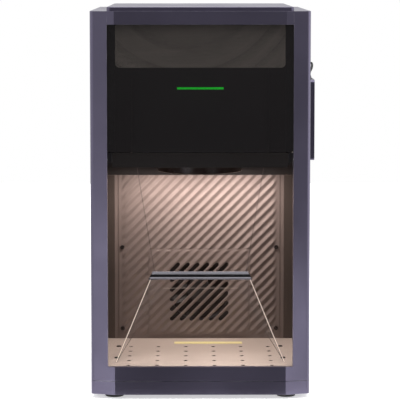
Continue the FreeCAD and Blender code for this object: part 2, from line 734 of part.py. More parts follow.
def make_fan_cover():
    body = new_body("fan_cover")
    front = BACK_WALL_FRONT - d.fan_cover_sheet
    top = d.fan_cover_low + d.fan_cover_height
    add(body, "XZ", front, BACK_WALL_FRONT, centred(d.fan_cover_width, d.fan_cover_low, top))
    half = (d.fan_cover_width / 2).number
    middle = (BACK_WALL_FRONT - d.fan_cover_sheet / 2).number

    def is_corner(edge):
        place = edge.CenterOfMass
        return abs(abs(place.x) - half) < CLOSE and abs(place.y - middle) < CLOSE

    round_edges(body, d.fan_cover_round, is_corner)
    cut(body, "XZ", front, BACK_WALL_FRONT, *grille_slots())


def make_chamber_liners():
    body = new_body("chamber_liners")
    outer = LINER_INSIDE + d.liner_sheet
    for side in SIDES:
        low, high = (LINER_INSIDE, outer) if side > 0 else (-outer, -LINER_INSIDE)
        add(body, "YZ", low, high, rectangle(FRAME_REAR, BULKHEAD_FRONT, TRAY_FLOOR, d.liner_top))


def make_light_bars():
    body = new_body("light_bars")
    inner = LINER_INSIDE - d.light_width
    front = FRAME_REAR + d.light_setback
    for side in SIDES:
        low, high = (inner, LINER_INSIDE) if side > 0 else (-LINER_INSIDE, -inner)
        section = rectangle(front, front + d.light_length, d.light_level, d.light_level + d.light_height)
        add(body, "YZ", low, high, section)


def bed_screw_places():
    half = d.bed_screw_spread / 2
    return [(side * half, FRONT + setback) for side in SIDES for setback in BED_SCREW_SETBACKS]


def bed_hole_places():
    places = []
    for column in range(BED_COLUMNS):
        x = d.bed_hole_pitch * (column - (BED_COLUMNS - 1) / 2)
        for number in range(BED_ROWS):
            places.append((x, FRONT + d.bed_hole_setback + d.bed_hole_pitch * number))
    return places


def make_work_bed():
    body = new_body("work_bed")
    low = d.bed_level - d.bed_sheet
    half = d.chamber_width / 2
    back = BULKHEAD_FRONT - d.side_gap
    tongue = WINDOW_HALF - d.bed_tongue_gap
    front = FRONT + d.bed_setback
    step = FRAME_REAR + d.side_gap
    outline = [(-tongue, front), (tongue, front), (tongue, step), (half, step),
               (half, back), (-half, back), (-half, step), (-tongue, step)]
    add(body, "XY", low, d.bed_level, outline)
    holes = [Disc(x, y, d.bed_hole_radius) for x, y in bed_hole_places()]
    holes += [Disc(x, y, d.bed_screw_radius + d.screw_hole_gap) for x, y in bed_screw_places()]
    cut(body, "XY", low, d.bed_level, *holes)


def make_bed_standoffs():
    body = new_body("bed_standoffs")
    top = d.bed_level - d.bed_sheet
    posts = [Disc(x, y, d.standoff_radius) for x, y in bed_screw_places()]
    holes = [Disc(x, y, d.bed_screw_radius + d.screw_hole_gap) for x, y in bed_screw_places()]
    add(body, "XY", TRAY_FLOOR, top, *posts)
    cut(body, "XY", TRAY_FLOOR + d.base_floor, top, *holes)


def make_bed_screws():
    body = new_body("bed_screws")
    heads = [Disc(x, y, d.bed_screw_head) for x, y in bed_screw_places()]
    shanks = [Disc(x, y, d.bed_screw_radius) for x, y in bed_screw_places()]
    add(body, "XY", d.bed_level, d.bed_level + d.bed_screw_head_height, *heads)
    add(body, "XY", TRAY_FLOOR + d.base_floor * 2, d.bed_level, *shanks)


def make_bed_label():
    body = new_body("bed_label")
    half = d.label_width / 2
    middle = FRONT + d.label_setback
    outline = rectangle(d.label_offset - half, d.label_offset + half,
                        middle - d.label_depth / 2, middle + d.label_depth / 2)
    add(body, "XY", d.bed_level, d.bed_level + d.label_sheet, outline)


# Upper window.

def make_upper_window():
    body = new_body("upper_window")
    half = WINDOW_HALF - d.glass_gap / 2
    add(body, "XZ", GLASS_FRONT, GLASS_REAR, rectangle(-half, half, UPPER_LOW, WINDOW_TOP - d.glass_gap / 2))


def make_window_retainers():
    body = new_body("window_retainers")
    outer = WINDOW_HALF - d.running_gap
    inner = outer - d.retainer_width
    for side in SIDES:
        low, high = (inner, outer) if side > 0 else (-outer, -inner)
        section = rectangle(GLASS_REAR, GLASS_REAR + d.retainer_depth, UPPER_LOW + d.glass_gap, WINDOW_TOP)
        add(body, "YZ", low, high, section)


def make_fascia_plate():
    body = new_body("fascia_plate")
    top = WINDOW_TOP - d.glass_gap / 2
    low = top - d.fascia_height
    rear = GLASS_REAR + d.fascia_sheet
    add(body, "XZ", GLASS_REAR, rear, centred(d.fascia_width, low, top))
    half = (d.fascia_width / 2).number

    def is_lower_corner(edge):
        place = edge.CenterOfMass
        return abs(abs(place.x) - half) < CLOSE and abs(place.z - low.number) < CLOSE

    round_edges(body, d.fascia_round, is_lower_corner)


def make_status_light():
    body = new_body("status_light")
    half = d.status_height / 2
    outline = centred(d.status_length, d.status_level - half, d.status_level + half)
    add(body, "XZ", GLASS_REAR, GLASS_REAR + d.status_depth, outline)


# Door.

def flat_face(points):
    """A flat face through points given in order."""
    return Part.Face(Part.makePolygon(points + points[:1]))


def recess_solid(front):
    """The hand recess: an hour-glass outline on the door's face that slopes in to a valley."""
    def point(half, level, depth=0.0):
        return lambda side: FreeCAD.Vector(side * half, front + depth, level)

    top = point(d.recess_top_width.number / 2, (DOOR_TOP - d.recess_top_drop).number)
    grip_low = (DOOR_LOW + d.grip_rise).number
    waist_high = point(d.grip_high_width.number / 2, grip_low + d.grip_height.number)
    waist_low = point(d.grip_low_width.number / 2, grip_low)
    tip = point(d.recess_tip_width.number / 2, (DOOR_LOW + d.recess_tip_rise).number)
    valley = point(d.valley_width.number / 2, (DOOR_LOW + d.valley_rise).number, d.recess_depth.number)
    rim = [top, waist_high, waist_low, tip]
    right = [corner(1) for corner in rim]
    left = [corner(-1) for corner in reversed(rim)]
    faces = [flat_face(right + left)]
    faces.append(flat_face([top(-1), top(1), valley(1), valley(-1)]))
    faces.append(flat_face([valley(-1), valley(1), tip(1), tip(-1)]))
    for side in SIDES:
        for upper, lower in zip(rim, rim[1:]):
            faces.append(flat_face([upper(side), lower(side), valley(side)]))
    solid = Part.makeSolid(Part.makeShell(faces))
    if solid.Volume < 0:
        solid.reverse()
    return solid


def make_door_window():
    """A clear sheet with the recess moulded in, and a notch in each top corner for the hinge."""
    sheet_thick = d.glass_sheet.number
    front = GLASS_FRONT.number
    half = DOOR_HALF.number
    height = d.door_height.number
    plate = Part.makeBox(2 * half, sheet_thick, height, FreeCAD.Vector(-half, front, DOOR_LOW.number))
    bulge = recess_solid(front + sheet_thick)
    shape = plate.fuse(bulge).cut(recess_solid(front))
    wide = d.hinge_ear_width.number
    tall = d.hinge_ear_height.number
    for side in SIDES:
        left = half - wide if side > 0 else -half
        corner = FreeCAD.Vector(left, front, DOOR_TOP.number - tall)
        shape = shape.cut(Part.makeBox(wide, sheet_thick, tall, corner))
    door = doc.addObject("Part::Feature", "door_window")
    door.Label = "door_window"
    door.Shape = shape.removeSplitter()
    door.Placement = FreeCAD.Placement()


def make_door_hinge_bar():
    body = new_body("door_hinge_bar")
    outer = DOOR_HALF
    top = DOOR_TOP - d.side_gap
    bar = rectangle(-outer, outer, top - d.hinge_bar_height, top)
    add(body, "XZ", GLASS_REAR, GLASS_REAR + d.hinge_bar_depth, bar)
    low = DOOR_TOP - d.hinge_ear_height + d.side_gap
    ears = [rectangle(ear_inner(), outer, low, top), rectangle(-outer, -ear_inner(), low, top)]
    add(body, "XZ", GLASS_FRONT + d.side_gap, GLASS_REAR, *ears)
    cut(body, "YZ", -outer, outer, Disc(HINGE_Y, HINGE_Z, d.hinge_pin_radius + d.seat_gap))


def make_door_hinge_pins():
    body = new_body("door_hinge_pins")
    inner = ear_inner() + d.seat_gap
    outer = hinge_pin_end()
    disc = Disc(HINGE_Y, HINGE_Z, d.hinge_pin_radius)
    add(body, "YZ", inner, outer, disc)
    add(body, "YZ", -outer, -inner, disc)


def make_door_grip():
    body = new_body("door_grip")
    low = DOOR_LOW + d.grip_rise
    wide = d.grip_low_width / 2 + d.grip_overlap
    narrow = d.grip_high_width / 2 + d.grip_overlap
    high = low + d.grip_height
    add(body, "XZ", FRONT, GLASS_FRONT, [(-wide, low), (wide, low), (narrow, high), (-narrow, high)])


def make_door_magnet():
    body = new_body("door_magnet")
    rear = GLASS_REAR + d.hinge_bar_depth
    x = -(DOOR_HALF - d.hinge_ear_width)
    z = DOOR_TOP - d.side_gap - d.hinge_bar_height / 2
    add(body, "XZ", rear, rear + d.magnet_sheet, Disc(x, z, d.magnet_radius))


def make_door_sensor():
    body = new_body("door_sensor")
    front = GLASS_REAR + d.retainer_depth
    left = -(WINDOW_HALF - d.side_gap)
    low = UPPER_LOW + d.glass_gap + d.side_gap
    outline = rectangle(left, left + d.retainer_width, low, low + d.sensor_height)
    add(body, "XZ", front, front + d.sensor_depth, outline)


# Scanning head and its lift.

def make_head_shell():
    body = new_body("head_shell")
    top = d.head_low + d.head_height
    add(body, "XY", d.head_low, top, centred(d.head_width, HEAD_FRONT, HEAD_REAR))
    round_edges(body, d.head_round, upright_corner(d.head_width / 2, HEAD_FRONT))
    inside = centred(d.head_width - d.head_wall * 2, HEAD_FRONT + d.head_wall, HEAD_REAR - d.head_wall)
    cut(body, "XY", HEAD_FLOOR, top, inside)
    cut(body, "XY", d.head_low, HEAD_FLOOR, Disc(0, LENS_Y, d.head_hole_radius))


def make_head_lid():
    body = new_body("head_lid")
    low = d.head_low + d.head_height
    add(body, "XY", low, low + d.head_wall, centred(d.head_width, HEAD_FRONT, HEAD_REAR))
    round_edges(body, d.head_round, upright_corner(d.head_width / 2, HEAD_FRONT))


def make_lens_ring():
    body = new_body("lens_ring")
    low = d.head_low - d.lens_ring_height
    add(body, "XY", low, d.head_low, Disc(0, LENS_Y, d.lens_ring_radius))
    cut(body, "XY", low, d.head_low, Disc(0, LENS_Y, d.lens_radius - d.lens_step))
    cut(body, "XY", low + d.lens_step, d.head_low, Disc(0, LENS_Y, d.lens_radius + d.screw_hole_gap))


def make_scan_lens():
    body = new_body("scan_lens")
    low = d.head_low - d.lens_ring_height + d.lens_step
    add(body, "XY", low, low + d.lens_height, Disc(0, LENS_Y, d.lens_radius))


def make_galvo_block():
    body = new_body("galvo_block")
    top = HEAD_FLOOR + d.block_height
    front = LENS_Y - d.block_half
    back = LENS_Y + d.block_half
    add(body, "XY", HEAD_FLOOR, top, centred(d.block_half * 2, front, back))
    cut(body, "XY", HEAD_FLOOR, top - d.block_roof, Disc(0, LENS_Y, d.block_cavity))
    bore = d.galvo_radius + d.running_gap
    cut(body, "XY", top - d.block_roof, top, Disc(-d.beam_offset, LENS_Y, bore))
    cut(body, "XZ", front, LENS_Y, Disc(0, BEAM_Z, bore))
    cut(body, "XZ", LENS_Y, back, Disc(-d.beam_offset, BEAM_Z, d.beam_radius))


def make_galvo_motors():
    body = new_body("galvo_motors")
    shaft = d.galvo_shaft_radius + d.running_gap
    deep = d.galvo_shaft_depth + d.galvo_bore_spare
    low = HEAD_FLOOR + d.block_height - d.block_roof
    upright = Disc(-d.beam_offset, LENS_Y, d.galvo_radius)
    add(body, "XY", low, low + d.galvo_length, upright)
    rear = LENS_Y - d.block_cavity
    level = Disc(0, BEAM_Z, d.galvo_radius)
    add(body, "XZ", rear - d.galvo_length, rear, level)
    cut(body, "XY", low, low + deep, Disc(-d.beam_offset, LENS_Y, shaft))
    cut(body, "XZ", rear - deep, rear, Disc(0, BEAM_Z, shaft))


def slanted_plate(x, y, slope):
    """A thin plate's section at 45 degrees, rising to the right for a slope of +1."""
    along = d.mirror_length * HALF_ROOT_TWO / 2
    across = d.mirror_sheet * HALF_ROOT_TWO / 2
    return [(x - along + across, y - slope * (along + across)), (x + along + across, y + slope * (along - across)),
            (x + along - across, y + slope * (along + across)), (x - along - across, y - slope * (along - across))]


def make_galvo_mirror_x():
    """Turns about an upright shaft and sends the beam sideways."""
    body = new_body("galvo_mirror_x")
    half = d.mirror_length / 2
    motor = HEAD_FLOOR + d.block_height - d.block_roof
    add(body, "XY", BEAM_Z - half, BEAM_Z + half, slanted_plate(-d.beam_offset, LENS_Y, 1))
    shaft = Disc(-d.beam_offset, LENS_Y, d.galvo_shaft_radius)
    add(body, "XY", BEAM_Z, motor + d.galvo_shaft_depth, shaft)


def make_galvo_mirror_y():
    """Turns about a level shaft and sends the beam down through the lens."""
    body = new_body("galvo_mirror_y")
    half = d.mirror_length / 2
    motor = LENS_Y - d.block_cavity
    add(body, "XZ", LENS_Y - half, LENS_Y + half, slanted_plate(0, BEAM_Z, -1))
    add(body, "XZ", motor - d.galvo_shaft_depth, LENS_Y, Disc(0, BEAM_Z, d.galvo_shaft_radius))


def make_laser_module():
    body = new_body("laser_module")
    rear = HEAD_REAR - d.head_wall
    front = rear - d.laser_depth
    half = d.laser_width / 2
    outline = rectangle(-d.beam_offset - half, -d.beam_offset + half, front, rear)
    add(body, "XY", HEAD_FLOOR, HEAD_FLOOR + d.laser_height, outline)
    add(body, "XZ", LENS_Y + d.block_half, front, Disc(-d.beam_offset, BEAM_Z, d.beam_radius))


def make_carriage():
    body = new_body("carriage")
    low = d.carriage_low
    top = low + d.carriage_height
    outer = d.rail_spread / 2 + d.block_width / 2
    inner = outer - d.block_width
    plate_rear = HEAD_REAR + d.carriage_sheet
    arm_rear = BULKHEAD_FRONT - d.block_reach
    add(body, "XY", low, top, rectangle(-outer, outer, HEAD_REAR, plate_rear))
    add(body, "XY", low, top, rectangle(inner, outer, plate_rear, arm_rear),
        rectangle(-outer, -inner, plate_rear, arm_rear))
    shelf = low + d.shelf_rise
    shelf_rear = SCREW_Y + d.nut_flange + d.shelf_lip
    add(body, "XY", shelf, shelf + d.shelf_sheet, centred(d.shelf_width, plate_rear, shelf_rear))
    cut(body, "XY", shelf, shelf + d.shelf_sheet, Disc(0, SCREW_Y, d.nut_radius + d.seat_gap))


def make_rail_blocks():
    body = new_body("rail_blocks")
    front = BULKHEAD_FRONT - d.block_reach
    rear = BULKHEAD_FRONT - d.block_cover
    groove = BULKHEAD_FRONT - d.rail_height - d.side_gap
    half = d.block_width / 2
    slot = d.rail_width / 2 + d.running_gap
    low = d.carriage_low + d.block_gap
    for start in (low, low + d.block_tall + d.block_gap):
        sections = []
        for side in SIDES:
            x = side * d.rail_spread / 2
            sections.append([(x - half, front), (x + half, front), (x + half, rear), (x + slot, rear),
                             (x + slot, groove), (x - slot, groove), (x - slot, rear), (x - half, rear)])
        add(body, "XY", start, start + d.block_tall, *sections)


def make_z_rails():
    body = new_body("z_rails")
    front = BULKHEAD_FRONT - d.rail_height
    half = d.rail_width / 2
    sections = [rectangle(side * d.rail_spread / 2 - half, side * d.rail_spread / 2 + half,
                          front, BULKHEAD_FRONT) for side in SIDES]
    add(body, "XY", d.rail_low, d.rail_low + d.rail_length, *sections)


def make_lead_nut():
    body = new_body("lead_nut")
    shelf = d.carriage_low + d.shelf_rise
    low = shelf - d.nut_flange_sheet
    add(body, "XY", low, shelf, Disc(0, SCREW_Y, d.nut_flange))
    add(body, "XY", shelf, shelf + d.nut_length, Disc(0, SCREW_Y, d.nut_radius))
    cut(body, "XY", low, shelf + d.nut_length, Disc(0, SCREW_Y, d.screw_radius + d.running_gap))


def make_lead_screw():
    body = new_body("lead_screw")
    add(body, "XY", d.screw_bottom, d.motor_low + d.motor_bore_depth, Disc(0, SCREW_Y, d.screw_radius))


def make_screw_bearing():
    body = new_body("screw_bearing")
    top = d.bearing_low + d.bearing_height
    front = SCREW_Y - d.bearing_width / 2
    add(body, "XY", d.bearing_low, top, centred(d.bearing_width, front, BULKHEAD_FRONT))
    cut(body, "XY", d.bearing_low, top, Disc(0, SCREW_Y, d.screw_radius + d.running_gap))


def make_z_motor():
    body = new_body("z_motor")
    half = d.motor_size / 2
    top = d.motor_low + d.motor_height
    add(body, "XY", d.motor_low, top, centred(d.motor_size, SCREW_Y - half, SCREW_Y + half))
    for y in (SCREW_Y - half, SCREW_Y + half):
        round_edges(body, d.motor_round, upright_corner(half, y))
    bore = Disc(0, SCREW_Y, d.screw_radius + d.running_gap)
    bore_top = d.motor_low + d.motor_bore_depth + d.screw_end_gap
    cut(body, "XY", d.motor_low, bore_top, bore)


def make_z_motor_bracket():
    body = new_body("z_motor_bracket")
    low = d.motor_low - d.bracket_sheet
    front = SCREW_Y - d.bracket_width / 2
    add(body, "XY", low, d.motor_low, centred(d.bracket_width, front, BULKHEAD_FRONT))
    flange = centred(d.bracket_width, BULKHEAD_FRONT - d.bracket_sheet, BULKHEAD_FRONT)
    add(body, "XY", low - d.bracket_drop, low, flange)
    cut(body, "XY", low, d.motor_low, Disc(0, SCREW_Y, d.nut_flange))


# Exhaust.

def fan_square():
    return centred(d.fan_size, d.fan_level - d.fan_size / 2, d.fan_level + d.fan_size / 2)


def make_exhaust_fan_frame():
    body = new_body("exhaust_fan_frame")
    throat = Disc(0, d.fan_level, FAN_BORE)
    plate = FAN_REAR - d.fan_hub_plate
    add(body, "XZ", BULKHEAD_REAR, FAN_REAR, fan_square())
    cut(body, "XZ", BULKHEAD_REAR, FAN_REAR, throat)
    reach = FAN_BORE + d.fan_arm_root
    half = d.fan_hub_plate / 2
    add(body, "XZ", plate, FAN_REAR, rectangle(-reach, reach, d.fan_level - half, d.fan_level + half))
    add(body, "XZ", plate, FAN_REAR, rectangle(-half, half, d.fan_level - reach, d.fan_level + reach))
    add(body, "XZ", plate, FAN_REAR, Disc(0, d.fan_level, d.fan_hub_radius))
    add(body, "XZ", BULKHEAD_REAR + d.fan_axle_inset, plate, Disc(0, d.fan_level, d.fan_axle_radius))


def make_exhaust_fan_rotor():
    """A hub with a blind bore on the axle, and pitched blades cut to the throat's circle."""
    axis = FreeCAD.Vector(0, 1, 0)
    front = (BULKHEAD_REAR + d.fan_tip_gap).number
    rear = (FAN_REAR - d.fan_hub_plate - d.side_gap).number
    centre = FreeCAD.Vector(0, front, d.fan_level.number)
    length = rear - front
    hub = Part.makeCylinder(d.fan_hub_radius.number, length, centre, axis)
    reach = (FAN_BORE - d.fan_tip_gap).number
    chord = d.fan_blade_chord.number
    thick = d.fan_blade_sheet.number
    middle = FreeCAD.Vector(0, (front + rear) / 2, d.fan_level.number)
    shape = hub
    for number in range(FAN_BLADES):
        corner = FreeCAD.Vector(-chord / 2, middle.y - thick / 2, middle.z + d.fan_hub_radius.number / 2)
        blade = Part.makeBox(chord, thick, reach, corner)
        blade.rotate(middle, FreeCAD.Vector(0, 0, 1), FAN_BLADE_PITCH_DEG)
        blade.rotate(middle, axis, 360 / FAN_BLADES * number)
        shape = shape.fuse(blade)
    shape = shape.common(Part.makeCylinder(reach, length, centre, axis))
    bore_front = (BULKHEAD_REAR + d.fan_axle_inset - d.side_gap).number
    bore_start = FreeCAD.Vector(0, bore_front, d.fan_level.number)
    bore = Part.makeCylinder((d.fan_axle_radius + d.running_gap).number, rear - bore_front, bore_start, axis)
    rotor = doc.addObject("Part::Feature", "exhaust_fan_rotor")
    rotor.Label = "exhaust_fan_rotor"
    rotor.Shape = shape.cut(bore).removeSplitter()
    rotor.Placement = FreeCAD.Placement()


def make_exhaust_duct():
    body = new_body("exhaust_duct")
    bore = Disc(0, d.fan_level, DUCT_RADIUS - d.duct_wall)
    flange = FAN_REAR + d.duct_wall
    add(body, "XZ", FAN_REAR, flange, fan_square())
    add(body, "XZ", flange, REAR_INSIDE, Disc(0, d.fan_level, DUCT_RADIUS))
    cut(body, "XZ", FAN_REAR, REAR_INSIDE, bore)


def make_exhaust_spigot():
    body = new_body("exhaust_spigot")
    flange = BACK + d.duct_wall
    end = flange + d.spigot_length
    add(body, "XZ", BACK, flange, Disc(0, d.fan_level, d.spigot_flange))
    add(body, "XZ", flange, end, Disc(0, d.fan_level, d.spigot_radius))
    cut(body, "XZ", BACK, end, Disc(0, d.fan_level, d.spigot_radius - d.spigot_wall))


# Electrics in the rear bay.

def make_power_supply():
    body = new_body("power_supply")
    half = d.supply_width / 2
    outline = rectangle(-d.supply_centre - half, -d.supply_centre + half,
                        BULKHEAD_REAR, BULKHEAD_REAR + d.supply_depth)
    add(body, "XY", d.supply_low, d.supply_low + d.supply_height, outline)


def make_control_board():
    body = new_body("control_board")
    front = BULKHEAD_REAR + d.board_post_length
    rear = front + d.board_sheet
    half = d.board_width / 2
    left, right = d.board_centre - half, d.board_centre + half
    top = d.board_low + d.board_height
    add(body, "XZ", front, rear, rectangle(left, right, d.board_low, top))
    heat_sink = rectangle(left + d.heat_sink_inset, right - d.heat_sink_inset,
                          top - d.board_post_inset - d.heat_sink_height, top - d.board_post_inset)
    sockets = rectangle(left + d.socket_row_inset, right - d.socket_row_inset,
                        d.board_low, d.board_low + d.socket_row_height)
    add(body, "XZ", rear, rear + d.heat_sink_depth, heat_sink)
    add(body, "XZ", rear, rear + d.socket_row_depth, sockets)


def make_power_inlet():
    """A mains socket with three pins under the bay of the power rocker."""
    body = new_body("power_inlet")
    x = -d.inlet_centre
    z = d.inlet_level
    face = BACK + d.inlet_flange_sheet
    rear = BACK - d.inlet_body_depth
    body_half = d.inlet_body_width / 2
    body_tall = d.inlet_body_height / 2
    flange_half = d.inlet_flange_width / 2
    flange_tall = d.inlet_flange_height / 2
    add(body, "XZ", BACK, face, rectangle(x - flange_half, x + flange_half, z - flange_tall, z + flange_tall))
    add(body, "XZ", rear, BACK, rectangle(x - body_half, x + body_half, z - body_tall, z + body_tall))
    socket_z = z - d.socket_drop
    half = d.socket_width / 2
    tall = d.socket_height / 2
    cut(body, "XZ", face - d.socket_depth, face, rectangle(x - half, x + half, socket_z - tall, socket_z + tall))
    pin_half = d.inlet_pin_width / 2
    pin_tall = d.inlet_pin_height / 2
    for column, rise in ((-1, 0), (0, 1), (1, 0)):
        pin_x = x + column * d.inlet_pin_spread / 2
        pin_z = socket_z + rise * d.inlet_pin_raise
        add(body, "XZ", face - d.socket_depth, face - d.inlet_pin_shy,
            rectangle(pin_x - pin_half, pin_x + pin_half, pin_z - pin_tall, pin_z + pin_tall))
    bay_z = z + d.rocker_rise
    bay_half = d.rocker_width / 2 + d.side_gap
    cut(body, "XZ", face - d.rocker_bay_depth, face,
        rectangle(x - bay_half, x + bay_half, bay_z - d.rocker_bay_half, bay_z + d.rocker_bay_half))
    pivot = Disc(face - d.rocker_pivot_depth, bay_z, d.rocker_pin_radius + d.running_gap)
    reach = bay_half + d.rocker_pin_radius
    cut(body, "YZ", x - reach, x + reach, pivot)


def make_power_rocker():
    """Shown in its off position, tilted about its pivot."""
    body = new_body("power_rocker")
    x = -d.inlet_centre
    y = BACK + d.inlet_flange_sheet - d.rocker_pivot_depth
    z = d.inlet_level + d.rocker_rise
    tall = d.rocker_half_height
    proud = d.rocker_pivot_depth + d.rocker_proud
    dish = d.rocker_pivot_depth - d.rocker_proud
    profile = [(-dish / 2, -tall), (proud, -tall), (dish, as_size(0)), (proud, tall), (-dish / 2, tall)]
    half = d.rocker_width / 2
    add(body, "YZ", x - half, x + half, turned(profile, ROCKER_TILT_DEG, y, z))
    reach = half + d.rocker_pin_radius
    add(body, "YZ", x - reach, x + reach, Disc(y, z, d.rocker_pin_radius))


# Side controller and its cable.

def controller_front():
    return FRONT + d.controller_setback


def plug_y():
    return controller_front() + d.plug_setback


def button_place():
    return controller_front() + d.controller_depth / 2, d.controller_low + d.button_level


def make_controller_housing():
    body = new_body("controller_housing")
    front = controller_front()
    rear = front + d.controller_depth
    top = d.controller_low + d.controller_height
    face = SIDE + d.controller_sheet
    add(body, "YZ", SIDE, face, rectangle(front, rear, d.controller_low, top))
    middle = (SIDE + d.controller_sheet / 2).number

    def is_corner(edge):
        return abs(edge.CenterOfMass.x - middle) < CLOSE

    round_edges(body, d.controller_round, is_corner)
    cut(body, "YZ", face - d.screen_sheet, face, screen_outline(0))
    y, z = button_place()
    cut(body, "YZ", face - d.button_well, face, Disc(y, z, d.button_radius + d.screw_hole_gap))


def screen_outline(clearance):
    front = controller_front() + d.screen_margin + clearance
    rear = controller_front() + d.controller_depth - d.screen_margin - clearance
    top = d.controller_low + d.controller_height - d.screen_margin - clearance
    low = d.controller_low + d.controller_height - d.screen_margin - d.screen_height + clearance
    return rectangle(front, rear, low, top)


def make_controller_screen():
    body = new_body("controller_screen")
    face = SIDE + d.controller_sheet
    add(body, "YZ", face - d.screen_sheet, face, screen_outline(d.screw_hole_gap))


def make_controller_button():
    body = new_body("controller_button")
    face = SIDE + d.controller_sheet
    y, z = button_place()
    start = face - d.button_well + d.button_travel + d.side_gap
    add(body, "YZ", start, face + d.button_proud, Disc(y, z, d.button_radius))


def make_cable_socket():
    body = new_body("cable_socket")
    add(body, "YZ", SIDE, SIDE + d.plug_height, Disc(plug_y(), d.plug_level, d.plug_radius))


# How the cable runs from its socket to the top of the controller: beyond the side panel,
# behind the controller's front edge, and above the standing plane.
CABLE_POINTS = [
    (4.0, 59.5, 452.0),
    (10.5, 59.5, 452.0),
    (12.6, 48.0, 452.0),
    (12.2, 37.5, 446.5),
    (8.0, 29.0, 439.5),
    (8.0, 29.0, 430.0),
]
ARC_SHARE = 0.45


def rounded_path(points):
    """Straight runs joined by tangent arcs, with the radius of each arc."""
    edges = []
    radii = []
    start = points[0]
    for before, corner, after in zip(points, points[1:], points[2:]):
        back = before - corner
        ahead = after - corner
        turn = math.pi - back.getAngle(ahead)
        reach = ARC_SHARE * min(back.Length, ahead.Length)
        radius = reach / math.tan(turn / 2)
        back.normalize()
        ahead.normalize()
        entry = corner + back * reach
        leave = corner + ahead * reach
        inward = back + ahead
        inward.normalize()
        middle = corner + inward * (radius / math.cos(turn / 2) - radius)
        edges.append(Part.LineSegment(start, entry).toShape())
        edges.append(Part.Arc(entry, middle, leave).toShape())
        radii.append(radius)
        start = leave
    edges.append(Part.LineSegment(start, points[-1]).toShape())
    return Part.Wire(edges), radii


def make_controller_cable():
    origin = FreeCAD.Vector(SIDE.number, controller_front().number, 0)
    points = [origin + FreeCAD.Vector(*offset) for offset in CABLE_POINTS]
    path, radii = rounded_path(points)
    radius = d.cable_radius.number
    direction = points[1] - points[0]
    ring = Part.Wire([Part.makeCircle(radius, points[0], direction)])
    shape = path.makePipeShell([ring], True, False)
    print("cable arc radii:", [round(value, 1) for value in radii])
    print("cable volume share:", round(shape.Volume / (math.pi * radius ** 2 * path.Length), 4))
    cable = doc.addObject("Part::Feature", "controller_cable")
    cable.Label = "controller_cable"
    cable.Shape = shape
    cable.Placement = FreeCAD.Placement()


def make_everything():
    make_base_tray()
    make_rubber_feet()
    make_front_frame()
    make_side_panel("left_side_panel", -1)
    make_side_panel("right_side_panel", 1)
    make_rear_panel()
    make_rear_panel_screws()
    make_top_panel()
    make_top_cap()
    make_bulkhead()
    make_back_wall()
    make_back_wall_screws()
    make_fan_cover()
    make_chamber_liners()
    make_light_bars()
    make_work_bed()
    make_bed_standoffs()
    make_bed_screws()
    make_bed_label()
    make_upper_window()
    make_window_retainers()
    make_fascia_plate()
    make_status_light()
    make_door_window()
    make_door_hinge_bar()
    make_door_hinge_pins()
    make_door_grip()
    make_door_magnet()
    make_door_sensor()
    make_head_shell()
    make_head_lid()
    make_lens_ring()
    make_scan_lens()
    make_galvo_block()
    make_galvo_motors()
    make_galvo_mirror_x()
    make_galvo_mirror_y()
    make_laser_module()
    make_carriage()
    make_rail_blocks()
    make_z_rails()
    make_lead_nut()
    make_lead_screw()
    make_screw_bearing()
    make_z_motor()
    make_z_motor_bracket()
    make_exhaust_fan_frame()
    make_exhaust_fan_rotor()
    make_exhaust_duct()
    make_exhaust_spigot()
    make_power_supply()
    make_control_board()
    make_power_inlet()
    make_power_rocker()
    make_controller_housing()
    make_controller_screen()
    make_controller_button()
    make_cable_socket()
    make_controller_cable()


def check_features():
    """Stops on a failed object, or on a cut that took nothing away."""
    for item in doc.Objects:
        if "Invalid" in item.State or "Error" in item.State:
            raise RuntimeError(f"{item.Label} failed: {item.State}")
        if item.TypeId == "PartDesign::Pocket":
            if item.Shape.Volume >= item.BaseFeature.Shape.Volume - 1e-6:
                raise RuntimeError(f"{item.Label} cuts nothing")


def sub_parts():
    return [item for item in doc.Objects if item.TypeId in ("PartDesign::Body", "Part::Feature")]


def write_parts():
    """Checks each sub-part's shape, then writes its file."""
    for item in sub_parts():
        if item.Shape.isNull() or not item.Shape.isValid() or not item.Shape.Solids:
            raise RuntimeError(f"{item.Label} has no valid solid")
    for item in sub_parts():
        item.Shape.exportStep(f"parts/{item.Label}.step")


os.makedirs("parts", exist_ok=True)
make_everything()
doc.recompute()
check_features()
write_parts()
print("sub-parts:", len(sub_parts()))
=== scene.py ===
"""Desktop laser cutter: the camera, the materials, the detailed pieces and the light."""
import json
import math

import bmesh
import bpy
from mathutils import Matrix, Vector


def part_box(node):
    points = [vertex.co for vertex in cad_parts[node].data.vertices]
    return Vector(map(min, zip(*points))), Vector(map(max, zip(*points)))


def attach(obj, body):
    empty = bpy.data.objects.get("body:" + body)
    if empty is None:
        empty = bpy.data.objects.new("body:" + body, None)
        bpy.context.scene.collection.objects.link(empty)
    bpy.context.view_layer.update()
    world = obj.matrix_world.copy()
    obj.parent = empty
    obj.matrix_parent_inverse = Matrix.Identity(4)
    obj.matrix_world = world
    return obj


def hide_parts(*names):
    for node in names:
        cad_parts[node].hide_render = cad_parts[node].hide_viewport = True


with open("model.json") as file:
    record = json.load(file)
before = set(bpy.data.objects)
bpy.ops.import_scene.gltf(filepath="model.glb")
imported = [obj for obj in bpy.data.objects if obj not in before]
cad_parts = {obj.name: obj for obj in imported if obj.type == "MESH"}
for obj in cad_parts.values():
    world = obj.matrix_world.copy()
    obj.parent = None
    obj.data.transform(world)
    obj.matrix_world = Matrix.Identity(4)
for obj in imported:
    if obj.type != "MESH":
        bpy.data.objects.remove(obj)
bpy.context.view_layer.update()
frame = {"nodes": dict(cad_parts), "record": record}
nodes = frame["nodes"]
MM = 0.001


# Camera: a long lens in front of the machine, a little above its top, looking slightly down

